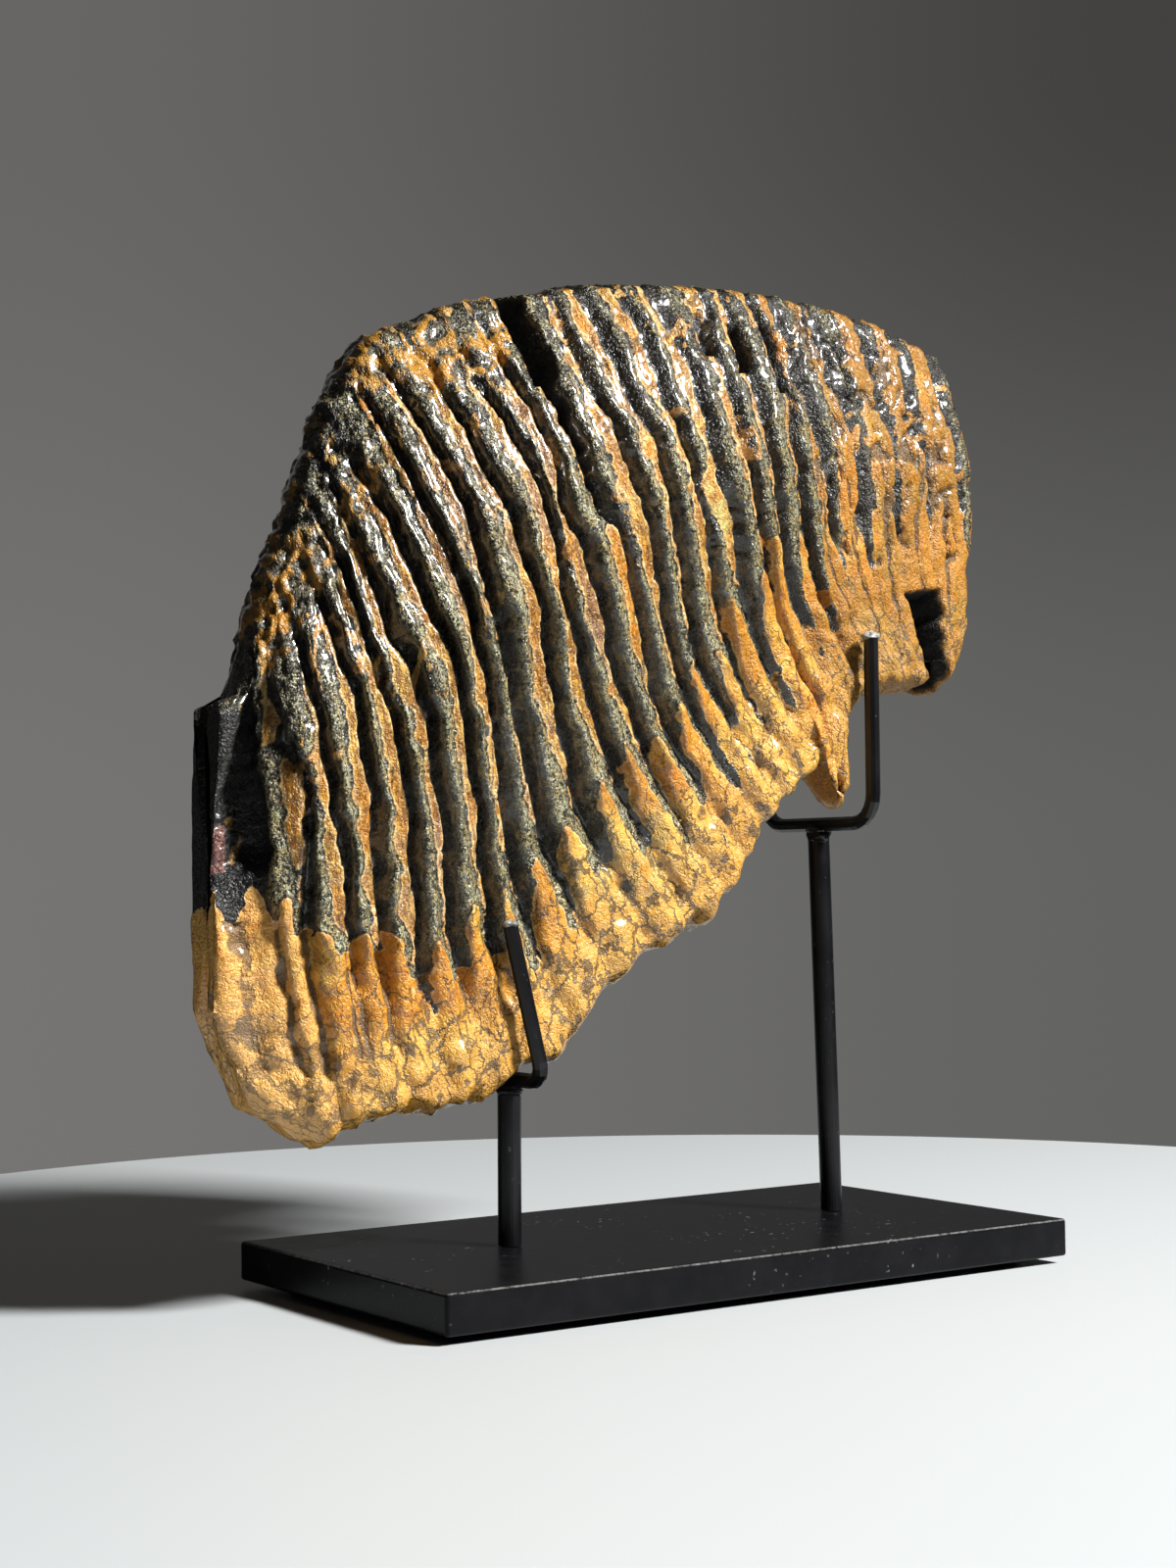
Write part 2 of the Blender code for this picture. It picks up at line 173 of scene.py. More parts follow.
# Cement strip in the valley to the right of each lamella: (rise, lamella, half width)
valleys = (
    ((0, .2, .02), (.3, .28, .02), (.5, .3, .02), (1, .3, .02)),
    ((.35, 1.12, 0), (.44, 1.14, .05), (.5, 1.17, .11), (.6, 1.2, .13), (.68, 1.16, .1),
     (.72, 1.1, .02), (.745, .93, .03), (.765, .88, .15), (.82, .89, .18), (.9, .88, .18), (1, .8, .15)),
    ((.28, 2.2, 0), (.33, 2.0, .12), (.38, 2.0, .17), (.45, 1.95, .12), (.55, 1.93, .12),
     (.65, 1.92, .1), (.7, 2.05, .09), (.77, 2.02, .05), (.85, 1.95, .03), (1, 1.6, .03)),
    ((.2, 2.95, .08), (.3, 2.93, .12), (.5, 2.93, .15), (.6, 2.95, .15), (.68, 3.0, .17),
     (.75, 2.93, .12), (.8, 2.9, .08), (.87, 2.85, .04), (1, 2.7, .03)),
    ((.2, 3.9, .1), (.27, 3.88, .2), (.36, 3.93, .17), (.42, 3.97, .18), (.5, 3.93, .17),
     (.57, 3.95, .17), (.65, 3.85, .1), (.72, 3.8, .12), (.8, 3.77, .14), (1, 3.6, .06)),
    ((.15, 4.97, .06), (.3, 4.93, .1), (.37, 5.03, .13), (.45, 4.9, .1), (.5, 4.9, .12),
     (.56, 4.8, .12), (.62, 4.65, .14), (.7, 4.5, .15), (.78, 4.4, .15), (.85, 4.4, .12), (1, 4.5, .05)),
    ((.15, 5.95, .05), (.22, 6.05, .1), (.32, 6.15, .12), (.4, 6.12, .1), (.5, 6.08, .1),
     (.58, 6.02, .11), (.63, 5.85, .12), (.7, 5.68, .15), (.78, 5.55, .16), (.86, 5.42, .12),
     (1, 5.2, .06)),
    ((.15, 7.0, .06), (.3, 6.98, .1), (.4, 6.97, .12), (.5, 6.92, .1), (.6, 6.95, .1), (.68, 6.9, .13),
     (.75, 6.75, .16), (.85, 6.6, .12), (1, 6.4, .06)),
    ((.12, 7.9, .05), (.2, 7.85, .06), (.3, 7.82, .06), (.4, 7.73, .04), (.5, 7.72, .05),
     (.6, 7.72, .05), (.7, 7.76, .13), (.8, 7.7, .15), (.88, 7.6, .1), (1, 7.4, .05)),
    ((.12, 8.9, .08), (.25, 8.88, .1), (.32, 8.82, .15), (.38, 8.75, .18), (.45, 8.85, .12),
     (.53, 9.0, .11), (.6, 8.95, .1), (.67, 8.97, .12), (.73, 8.8, .16), (.8, 8.75, .14), (1, 8.5, .06)),
    ((.1, 10.0, .06), (.25, 10.05, .08), (.32, 9.95, .14), (.37, 9.85, .2), (.43, 9.92, .1),
     (.5, 9.95, .08), (.58, 10.05, .13), (.66, 10.12, .16), (.69, 10.1, .15), (.76, 9.95, .14),
     (.85, 9.7, .1), (1, 9.5, .04)),
    ((.1, 11.1, .06), (.25, 11.08, .08), (.33, 10.98, .1), (.42, 10.85, .13), (.5, 10.78, .16),
     (.57, 10.72, .14), (.63, 10.75, .09), (.7, 10.88, .1), (.78, 10.8, .1), (.88, 10.6, .08),
     (1, 10.4, .03)),
    ((.1, 12.0, .05), (.25, 11.98, .08), (.35, 12.02, .1), (.45, 12.05, .12), (.52, 12.03, .15),
     (.56, 11.98, .14), (.575, 11.97, .02), (.62, 11.8, .02), (.75, 11.7, .02), (.88, 11.5, .02),
     (1, 11.3, .02)),
    ((.1, 12.85, .05), (.25, 12.9, .08), (.35, 12.95, .08), (.45, 13.0, .15), (.55, 12.98, .2),
     (.62, 12.92, .2), (.7, 12.9, .14), (.8, 12.8, .06), (.88, 12.7, .03), (1, 12.7, .02)),
    ((.12, 13.85, .04), (.3, 13.7, .1), (.4, 13.9, .05), (.5, 13.97, .08), (.6, 14.0, .13),
     (.67, 13.98, .15), (.73, 13.8, .12), (.8, 13.65, .08), (.88, 13.58, .1), (.95, 13.45, .14),
     (1, 13.4, .12)),
    ((.12, 14.95, .05), (.3, 14.93, .1), (.4, 14.97, .12), (.5, 14.97, .1), (.6, 14.92, .09),
     (.68, 14.95, .1), (.75, 14.75, .1), (.85, 14.65, .12), (.95, 14.55, .15), (1, 14.4, .15)),
    ((.12, 15.9, .05), (.3, 15.9, .05), (.42, 15.9, .1), (.5, 15.72, .2), (.56, 15.6, .2),
     (.6, 15.75, .08), (.7, 15.75, .12), (.8, 15.72, .13), (.88, 15.6, .08), (1, 15.3, .05)),
    ((.12, 16.95, .05), (.3, 16.95, .05), (.45, 16.9, .06), (.55, 16.88, .07), (.64, 16.85, .08),
     (.7, 16.75, .1), (.78, 16.8, .06), (.83, 16.72, .1), (.88, 16.6, .04), (.95, 16.75, .12),
     (1, 16.8, .18)),
    ((.12, 18.0, .05), (.35, 17.9, .05), (.5, 17.88, .08), (.6, 17.85, .08), (.7, 17.85, .08),
     (.78, 17.72, .09), (.84, 17.6, .06), (.92, 17.5, .1), (1, 17.6, .1)),
    ((.12, 19.1, .05), (.35, 18.95, .06), (.5, 18.9, .08), (.6, 18.88, .07), (.7, 19.05, .06),
     (.8, 18.85, .05), (.9, 18.7, .04), (1, 18.3, .2)),
    ((.12, 19.95, .05), (.38, 19.85, .15), (.48, 19.92, .22), (.56, 19.85, .15), (.62, 19.9, .04),
     (.7, 19.75, .04), (.78, 19.5, .08), (.86, 19.45, .1), (.93, 19.3, .13), (1, 19.15, .15)),
    ((.1, 21.0, .1), (.3, 20.9, .3), (.45, 20.98, .36), (.6, 21.0, .34), (.7, 20.95, .28),
     (.8, 20.75, .24), (.88, 20.65, .22), (1, 20.4, .22)),
    ((.1, 22.0, .1), (.35, 22.2, .36), (.5, 22.3, .4), (.6, 22.35, .38), (.7, 22.3, .34),
     (.8, 22.2, .28), (.87, 22.1, .25), (.95, 22.2, .28), (1, 22.2, .28)),
    ((.3, 23.3, .35), (.5, 23.3, .38), (.62, 23.28, .34), (.7, 23.2, .26), (.8, 23.1, .22),
     (.9, 23.2, .24), (1, 23.2, .26)),
    ((.3, 24.3, .35), (.5, 24.3, .4), (.65, 24.3, .38), (.8, 24.2, .3), (.9, 24.2, .26), (1, 24.3, .3)),
)

# Top of the root cement on each lamella: (lamella, rise, half width of its finger)
fingers = (
    (.06, .46, .22), (.45, .475, .14), (.86, .42, .17), (1.47, .345, .28), (2.45, .29, .35),
    (3.28, .26, .3), (4.45, .225, .3), (5.62, .245, .28), (6.55, .225, .2), (7.45, .21, .3),
    (8.38, .215, .28), (9.55, .24, .27), (10.6, .255, .3), (11.5, .235, .28), (12.5, .24, .28),
    (13.45, .275, .25), (14.5, .255, .3), (15.5, .33, .3), (16.65, .37, .3), (17.45, .42, .3),
    (18.68, .375, .25), (19.9, .42, .35), (20.95, .5, .4), (22.2, .46, .5), (23.3, .46, .5),
    (24.4, .5, .5),
)

# Deep slots and pits: (lamella and rise at the foot, the same at the head, half width, depth)
slots = (
    (12.0, .59, 11.95, .72, .11, 4.0), (11.95, .7, 11.85, .86, .2, 6.0),
    (11.85, .84, 11.72, 1.02, .4, 9.0), (17.85, .79, 17.8, .93, .26, 5.0),
    (19.2, .72, 19.12, .93, .28, 6.0), (19.0, .9, 18.75, 1.0, .16, 4.0),
    (16.8, .84, 16.72, .96, .2, 2.5), (21.75, .72, 21.6, .93, .16, 3.5),
    (20.5, .8, 20.35, 1.0, .12, 2.5), (22.8, .78, 22.6, .97, .12, 2.0),
    (23.5, .62, 23.35, .74, .1, 1.5), (24.35, .6, 24.3, .82, .07, 1.2),
    (23.35, -.05, 23.3, .21, .74, 13.0), (17.02, -.03, 16.98, .022, .2, 2.5),
)

# Colour patches: (lamella, rise, half lamella, half rise, orange, brown, pale)
patches = (
    (14.0, .635, .3, .05, 1, 0, 0), (13.75, .72, .25, .04, .2, 1, 0), (15.65, .5, .3, .09, 0, 0, 1),
    (20.9, .42, 1.3, .2, 1, 0, 0), (21.8, .6, .7, .12, .9, 0, 0), (8.5, .7, 3.5, .14, 0, 1, 0),
    (11.2, .78, 2.0, .1, 0, .9, 0), (10.9, .45, .4, .13, 0, 1, 0), (5.2, .33, .5, .13, 0, .9, 0),
    (7.9, .3, .6, .12, 0, .8, 0), (.3, .38, .5, .12, .6, 0, 0), (1.6, .22, 1.4, .08, .5, 0, 0),
    (3.6, .17, 1.5, .06, .6, 0, 0), (.2, .12, .8, .06, 0, .5, 0), (16.8, .1, .6, .12, .9, 0, 0),
    (9.5, .12, 2.0, .07, 0, 0, .4), (12.6, .18, 1.6, .07, .6, 0, 0), (18.3, .3, 1.0, .12, .7, 0, 0),
    (5.0, .66, .4, .06, 0, 0, .9), (19.2, .88, 1.6, .08, .7, 0, 0), (24.3, .85, .9, .1, .9, 0, 0),
    (24.0, .3, 1.2, .2, .5, 0, 0), (2.6, .9, 1.5, .07, 1, 0, 0), (6.5, .95, 2.0, .05, .9, 0, 0),
    (3.0, .5, 1.2, .15, .3, 0, 0), (12.0, .45, .5, .12, .7, 0, 0), (21.0, .1, 1.2, .08, 0, 0, .8),
)


def middleLine(lamella, rise):  # x and z of the middle plane
    up = rise[..., None]
    line = curveThrough(toothForm["rootEdge"], lamella) * (1 - up)
    line = line + curveThrough(toothForm["crownEdge"], lamella) * up
    line[..., 0] += 4 * rise * (1 - rise) * valueAt(toothForm["bow"], lamella)
    return line


def halfThickness(lamella, rise):
    root = valueAt(toothForm["rootHalf"], lamella)
    body = valueAt(toothForm["bodyHalf"], lamella)
    crown = valueAt(toothForm["crownHalf"], lamella)
    lower = root + (body - root) * ramp(0.18, 0.6, rise)
    return lower + (crown - body) * np.clip((rise - 0.6) / 0.4, 0, 1) ** 2


def ringPlaces():  # rise, across and dome for each point round the tooth
    rows = toothForm["rows"]
    places = [(i / rows["front"], -1.0, 0.0) for i in range(rows["front"] + 1)]
    for i in range(1, rows["crown"]):
        angle = math.pi * i / rows["crown"]
        places.append((1.0, -math.cos(angle), math.sin(angle)))
    places += [(1 - i / rows["back"], 1.0, 0.0) for i in range(rows["back"] + 1)]
    for i in range(1, rows["root"]):
        angle = math.pi * i / rows["root"]
        places.append((0.0, math.cos(angle), -math.sin(angle)))
    return np.array(places)


def sharpened(field, place):  # field turned into mm from its zero line
    slopes = [
        np.gradient(field, axis=way) / np.maximum(np.linalg.norm(np.gradient(place, axis=way), axis=-1), 1e-3)
        for way in (0, 1)
    ]
    return field / np.maximum(np.hypot(*slopes), 0.004)


def ridgeSpace(lane, level, across, scales):  # places for noise that follows the ridges
    return np.stack((lane * scales[0], level * scales[1], across * scales[2]), axis=-1)


def stripLines(level, across):  # lane and half width of each cement strip, at each point of one ring
    tipPlaces, tipRises = [tip[0] for tip in fingers], [tip[1] for tip in fingers]
    upper = ramp(0.6, 0.72, level)
    centres, halves = [], []
    for number, knots in enumerate(valleys):
        found = curveThrough(knots, np.clip(level, knots[0][0], knots[-1][0]))
        rightEnd = ramp(19, 21, number)
        wider = 0.05 * upper * ramp(8, 12, number) * (1 - ramp(18, 20, number))
        wider = wider - 0.02 * upper * (1 - ramp(6, 10, number)) + 0.04 * ramp(20.5, 21.5, number)
        above = level - np.interp(found[:, 0], tipPlaces, tipRises)
        pinch = 0.85 * ramp(0.07, -0.07, above) * (1 - rightEnd)
        uneven = grain(ridgeSpace(level * 0 + number * 5.3, level, across, (1, 13, 3)), 1, 21)
        uneven = 1 + (0.6 - 0.3 * rightEnd) * uneven
        uneven = uneven * (1 + 0.35 * hump(level, 0.5, 0.32) * (1 - ramp(16, 19, number)))
        centres.append(found[:, 0])
        halves.append(np.clip((found[:, 1] + wider) * uneven * (1 - pinch), 0.012, 0.42))
    return np.array(centres), np.array(halves)


def rootFingers(lane, gaps, place):  # top of the root cement, place across a finger, and the gaps
    top = np.full(lane.shape, -9.0)
    finger = np.full(lane.shape, 9.0)
    waver = 1 + 0.4 * grain(place, 9, 65)
    for index, (where, peak, wide) in enumerate(fingers):
        off = np.abs(np.maximum(lane, 0.04) - where) / wide
        drop = 0.065 * off**1.7 + 0.12 * ramp(0.8, 1.5, off)
        deepest = peak * np.interp(where, (1, 4, 6, 9), (0.18, 0.26, 0.48, 0.62)) * waver
        reach = peak - np.where(off < 2.6, np.minimum(drop, deepest), drop)
        finger = np.where(reach > top, off, finger)
        top = np.maximum(top, reach)
        if 0 < index < 6:
            between = (where + fingers[index - 1][0]) / 2
            gaps = np.minimum(gaps, np.abs(lane - between) * laneWide)
    return top, finger, gaps


def openSlots(lane, level, across, place):  # how deep the slots go, and mm inside their edges, where the finish paints shade
    sunk = 0 * lane
    dark = np.full(lane.shape, -3.0)
    ragged = 0.5 * grain(place, 3.5, 31)
    for foot, low, head, upper, wide, depth in slots:
        u = np.clip((level - low) / (upper - low), 0, 1)
        side = (wide - np.abs(lane - (foot + (head - foot) * u))) * 9
        end = np.minimum(level - low, upper - level) * 115
        field = np.where(across > 0.2, -3, np.minimum(side, end) + ragged)
        sunk += depth * ramp(-0.4, 0.35 * depth, field)
        dark = np.maximum(dark, field)
    # gutter beside the left-end plate: no depth, only painted shade
    gutter = np.minimum((0.2 - np.abs(lane - 0.43)) * laneWide, np.minimum(level - 0.46, 0.94 - level) * 115)
    return sunk, np.maximum(dark, np.where(across < 0, gutter - 0.3, -3))


def colourPatches(lane, level):  # orange, brown and pale
    tones = []
    for part in (4, 5, 6):
        tone = 0 * lane
        for patch in patches:
            if patch[part]:
                away = np.hypot((lane - patch[0]) / patch[2], (level - patch[1]) / patch[3])
                tone = np.maximum(tone, patch[part] * (1 - ramp(0.5, 1.15, away)))
        tones.append(tone)
    return tones


def surfaceDetail(lamella, rise, across, place):  # height on the plain form, then the colours' masks
    level = np.clip(rise + 0.03 * np.sin(3.14 * rise) * across, 0, 1)
    wave = grain(place, 9, 3) * 0.07 + grain(place, 3.2, 8) * 0.04
    lane = np.clip(lamella, -1.9, 25.35) + wave
    ring = level.shape[0] // 2
    centres, halves = stripLines(level[ring], across[ring])
    none = centres[:1] * 0
    grooves = np.vstack((none - 2.2, centres + halves + 0.07, none + 25.4))
    strips = np.vstack((none, halves, none + 0.1))
    number = np.zeros(lane.shape, int)
    for k in range(1, len(valleys) + 1):
        number += lane > grooves[k][None, :]
    column = np.arange(lane.shape[1])[None, :] + 0 * number
    left, right = grooves[number, column], grooves[number + 1, column]
    half = strips[number + 1, column]
    width = right - left
    p = (lane - left) / width  # 0 to 1 from one groove to the next
    strip = (2 * half + 0.07) / width
    gap = 0.08 / width

    high = ramp(0.6, 0.8, level)
    ridge = ridgeSpace(number * 5.3 + 0.5, level, across, (1, 8, 2))
    sway, lean = grain(ridge, 1, 61), grain(ridge, 1, 62)
    steep = ramp(0.02, 0.36 - 0.06 * high + 0.12 * sway, p)
    fall = 1 - (0.42 + 0.1 * high) * ramp(0.56 + 0.12 * lean, 1.0, p / np.maximum(1 - strip, 0.3) * 0.98)
    within = (p - (1 - strip)) / np.maximum(strip - gap, 0.02)
    onStrip = ramp(-0.05, 0.05, within) * (1 - ramp(0.9, 1.03, within))
    pillow = 0.3 * np.sqrt(np.clip(4 * within * (1 - within), 0, 1))
    pillow = pillow + 0.3 * np.exp(-((within - 0.08) / 0.1) ** 2)
    close = 1 - ramp(1 - gap * 1.4, 1.0, p)
    crest = steep * fall * close
    inside = np.clip(lamella, 0, 25)
    share = valueAt(((0, .75), (1, 1), (17, 1), (20, .85), (21.5, .55), (25, .45)), inside)
    share = share * (1 - 0.45 * ramp(0.58, 0.8, level)) * (1 - 0.5 * ramp(0.93, 1, level))
    flat = ramp(20, 21.5, lamella)
    stripField = (half - np.abs(lane - (right - 0.07 - half))) * laneWide
    stripField = np.where(half < 0.016, -1.0, stripField)
    ribbon = grain(ridgeSpace(lane, level, across, (2.4, 10, 3)), 1, 52)
    gate = ramp(0.12, 0.3, grain(ridgeSpace(lane, level, across, (0.9, 6, 2)), 1, 53))
    gate = gate * ramp(0.45, 0.6, level) * ramp(0.9, 1.3, lane)
    stripField = np.maximum(stripField, (0.14 - np.abs(ribbon - 0.1)) * 2.4 * gate - 1.5 * (1 - gate))

    # root cement: fingers that end on the ridges
    middles = right - 0.07 - half, left - 0.07 - strips[number, column]
    gaps = np.minimum(*(np.abs(lane - spot) for spot in middles)) * laneWide
    top, finger, gaps = rootFingers(lane, gaps, place)
    ragged = grain(place, 2.4, 5) * 0.008 + grain(place, 7, 1) * 0.012
    below = np.clip(top - level, 0, 1)
    rootField = sharpened(top + ragged - level, place)
    rooted = ramp(-0.3, 0.3, rootField)
    tongue = rooted * (1 - ramp(0.0, 0.12, below)) * (1 - np.clip(finger, 0, 1) ** 2)
    broken = grain(place, 6, 11)
    cleft = rooted * np.exp(-((gaps / (0.6 + 0.3 * broken)) ** 2)) * ramp(0.04, 0.12, level)
    seam = gaps - 0.35 * broken + 1.5 * (1 - rooted) + 2 * ramp(0.1, 0.03, level)

    fade = (0.3 + 0.7 * ramp(0.05, 0.26, level)) * (1 - 0.7 * rooted * ramp(0.0, 0.1, below))
    ridges = crest * relief["ridge"] - relief["valley"]
    height = ridges * share * fade
    height += onStrip * (pillow + relief["endStrip"] * flat) * (1 - rooted) * (1 - 0.5 * high)
    height += rooted * relief["finger"] * (1 - np.clip(finger, 0, 1.3) ** 2)
    height += tongue * relief["tongue"] - cleft * relief["cleft"]
    rootPits = ramp(0.34, 0.2, pits(place * np.array((1, 1, 0.6)), 6.5, 4)) * ramp(0.2, 0.1, level)
    height -= rooted * relief["rootPit"] * rootPits
    low, more = relief["rootLump"]
    height += rooted * (low + more * ramp(0.25, 0.08, level)) * grain(place, 5, 63)

    # knobs and craters of the worn end
    limits = ((0, .88), (3, .86), (6, .88), (8, .86), (10.5, .87), (11.4, .93), (12, 1.1), (25, 1.1))
    worn = ramp(0.0, 0.05, level - valueAt(limits, inside) + 0.03 * grain(place, 6, 12))
    worn = worn * ramp(0.2, 1.0, lamella)
    bowls = pits(place, 4.6, 6)
    knobs = relief["knob"] * ramp(0.15, 0.7, bowls)
    knobs = knobs + relief["smallKnob"] * ramp(0.1, 0.6, pits(place, 2.7, 64))
    height += worn * (knobs - relief["worn"] - 0.35 * ridges)

    # finer lumps: crinkled high up, soft lower down
    height += relief["lump"] * (1 + high) * grain(place, 3.4, 4) * (1 - 0.6 * onStrip)
    height += relief["fineLump"] * grain(place, 1.5, 6) + relief["swell"] * grain(place, 16, 7)
    folds = np.minimum(np.abs(grain(place * np.array((1, 1, 0.7)), 3.2, 9)), 0.3)
    folds += 0.4 * np.minimum(np.abs(grain(place, 1.9, 10)), 0.22)
    low, more = relief["fold"]
    height += (low + more * high) * (folds - 0.3) * (1 - 0.7 * rooted)
    ribs = np.abs(grain(ridgeSpace(lane, level, across, (2.6, 8, 2)), 1, 51))
    low, more = relief["rib"]
    height += (low + more * high) * (np.minimum(ribs, 0.35) - 0.2) * (1 - 0.6 * rooted)

    # dark slits along the strips of the right end
    atEnd = ramp(18.5, 20.5, lamella) * ramp(0.1, 0.3, level)
    absent = ramp(0.1, -0.15, grain(place, 9, 54) + 0.1 * atEnd) * (1 - 0.35 * atEnd)
    slits = ribs / 0.4 + 0.3 * (1 - atEnd) + 2.5 * absent + 3 * rooted * (1 - atEnd)
    seam = np.minimum(seam, slits)
    height -= relief["slit"] * atEnd * np.exp(-((slits / 0.6) ** 2))

    # second groove that splits the high ridges
    split = 0.62 + 0.12 * grain(place, 14, 2)
    height -= relief["split"] * ramp(0.7, 0.86, level) * np.exp(-(((p - split) / 0.06) ** 2)) * share

    # plate on the left end, near black in the finish as dark enamel and painted shade, with a broken chunk
    # and a sliver in the trough beside it
    plate = (1 - ramp(0.45, 0.6, lane)) * ramp(0.3, -0.3, rootField) * ramp(0.95, 0.92, level)
    plate = plate * (across < 0.98)
    height += plate * (0.3 * grain(place, 2.2, 71) + 0.5 * grain(place, 8, 72) - relief["plate"] - height)
    trough = ramp(0.15, 0.35, lane) * ramp(0.68, 0.52, lane) * ramp(0.46, 0.56, level) * (across < 0)
    height -= relief["trough"] * trough * ramp(0.94, 0.84, level)
    chunk = ramp(*chunkBox["halfLane"], np.abs(lane - chunkBox["lane"]))
    chunk = chunk * ramp(*chunkBox["halfRise"], np.abs(level - chunkBox["rise"]))
    sliver = np.exp(-(((level - 0.56 + 0.27 * (lane - 0.2)) * 95 / 0.8) ** 2))
    sliver = sliver * ramp(0.32, 0.26, np.abs(lane - 0.36) + 0.1)
    height += (relief["chunk"] * chunk + relief["sliver"] * sliver) * (across < 0.5)
    endRidge = np.clip(1 - ((lane - 0.06) / 0.26) ** 2, 0, 1) * ramp(0.05, 0.3, level) * (across < 0.9)
    height += relief["endRidge"] * rooted * endRidge

    sunk, dark = openSlots(lane, level, across, place)
    height -= sunk
    tones = colourPatches(lane, level)
    lengthwise = ridgeSpace(lane, level, across, (7, 22, 4))
    blends = (
        0.5 + 0.5 * grain(place, 17, 41),
        0.5 + 0.3 * grain(place, 4, 42) + 0.2 * grain(place, 2, 43),
        0.5 + 0.3 * grain(lengthwise, 1, 44) + 0.2 * grain(lengthwise, 0.5, 45),
    )
    outline = -rootField - 0.9 + 4 * ramp(18.2, 19.2, lane)
    cement = np.maximum(rootField, np.minimum(stripField, outline))
    shade = onStrip * ramp(0.3, 0.75, within)
    lip = np.exp(-((within - 0.06) / 0.1) ** 2) + 0.8 * np.exp(-((within - 0.94) / 0.1) ** 2)
    # how lit each ridge is painted: none on its left flank, most on its crest
    crestLighting = crest * ramp(0.06, 0.45, p)
    return height, {
        "toothEdges": (cement, rootField, dark), "toothRelief": (crestLighting, high, worn * bowls),
        "toothCleft": (seam, shade, onStrip * lip), "toothTones": tones, "toothBlend": blends,
    }


def capRings(rim, outward, height, count, power=3):
    middle = rim.mean(axis=0)
    height = np.asarray(height)[..., None]
    rings = []
    for step in range(1, count + 2):
        size = 1 - step / (count + 1)
        swell = height * math.sqrt(1 - size**power)
        rings.append(middle + (rim - middle) * size + np.array(outward) * swell)
    return np.array(rings)


def toothSurface():  # rings of points from the left end to the right, and the masks on them
    rows, last = toothForm["rows"], toothForm["lamellae"]
    places = ringPlaces()
    total = last * rows["perLamella"]
    lamella = (np.arange(total + 1) / rows["perLamella"])[:, None] + 0 * places[None, :, 0]
    rise, across, dome = (places[None, :, k] + 0 * lamella for k in range(3))
    line = middleLine(lamella, rise)
    ahead = middleLine(lamella, rise + 0.01) - middleLine(lamella, rise - 0.01)
    ahead /= np.linalg.norm(ahead, axis=-1, keepdims=True)
    rootReach = toothForm["rootReach"] + 0 * lamella
    for place, half, length in toothForm["rootLobes"]:
        rootReach += length * hump(lamella, place, half)
    reach = np.where(dome > 0, toothForm["crownReach"], rootReach) * dome
    half = halfThickness(lamella, rise)
    thin = toothForm["nose"]
    nose = np.clip(1 - lamella / thin["lamellae"], 0, 1) ** 2 * ramp(0.98, 0.88, rise)
    form = np.stack((
        line[..., 0] + ahead[..., 0] * reach,
        across * half * (1 - thin["thinned"] * nose) + thin["behind"] * nose,
        line[..., 1] + ahead[..., 1] * reach,
    ), axis=-1)
    spur = ramp(0.52, 0.25, np.abs(lamella - toothForm["spur"]["lamella"]))
    spur = spur * ramp(0.11, 0.01, rise) * ramp(0.3, -0.7, across)
    form[..., 2] -= toothForm["spur"]["drop"] * spur
    plate = valueAt(toothForm["endPlate"], np.clip(form[..., 2], 48, 150)) + toothForm["endPlateReach"]
    form[..., 0] -= plate * (1 - ramp(*toothForm["endPlateTop"], form[..., 2])) * (1 - ramp(0, 0.6, lamella))
    left = capRings(form[0], (-1, -0.2, 0), 3.0 + 0.5 * ramp(147, 135, form[0][:, 2]), rows["cap"], 2)
    right = capRings(form[-1], (1, 0, 0.1), 4.0, rows["cap"])
    rings = np.concatenate((left[::-1], form, right))
    sideways = 0 * left[..., 0] + np.linspace(0.1, 1.2, rows["cap"] + 1)[:, None]
    flat = np.clip((left[..., 2] - 53.5) / 95.5, 0, 1), np.clip((right[..., 2] - 166) / 82.5, 0, 1)
    sidestep = -0.8 * (1 + places[None, :, 1] * np.linspace(1, 0, rows["cap"] + 2)[1:, None])
    lanes = np.concatenate((sidestep[::-1], lamella, last + sideways))
    rises = np.concatenate((flat[0][::-1], rise, flat[1]))
    acrosses = np.concatenate((left[::-1, :, 1] / 14, across, right[..., 1] / 14))
    along = np.gradient(rings, axis=0)
    around = (np.roll(rings, -1, axis=1) - np.roll(rings, 1, axis=1)) / 2
    normal = np.cross(along, around)
    normal /= np.maximum(np.linalg.norm(normal, axis=-1, keepdims=True), 1e-6)
    height, masks = surfaceDetail(lanes, rises, acrosses, rings)
    masks["toothLane"] = lanes, rises, acrosses
    eased = np.linspace(0.5, 0.95, len(left)), np.ones(total + 1), np.linspace(0.8, 0.1, len(right))
    rings += normal * (height * np.concatenate(eased)[:, None])[..., None]
    return rings + np.array(toothForm["shift"]), masks


def meshPiece(name, bm):  # smooth object made from a finished bmesh
    mesh = bpy.data.meshes.new(name)
    bm.to_mesh(mesh)
    bm.free()
    mesh.shade_smooth()
    piece = bpy.data.objects.new(name, mesh)
    bpy.context.collection.objects.link(piece)
    return piece


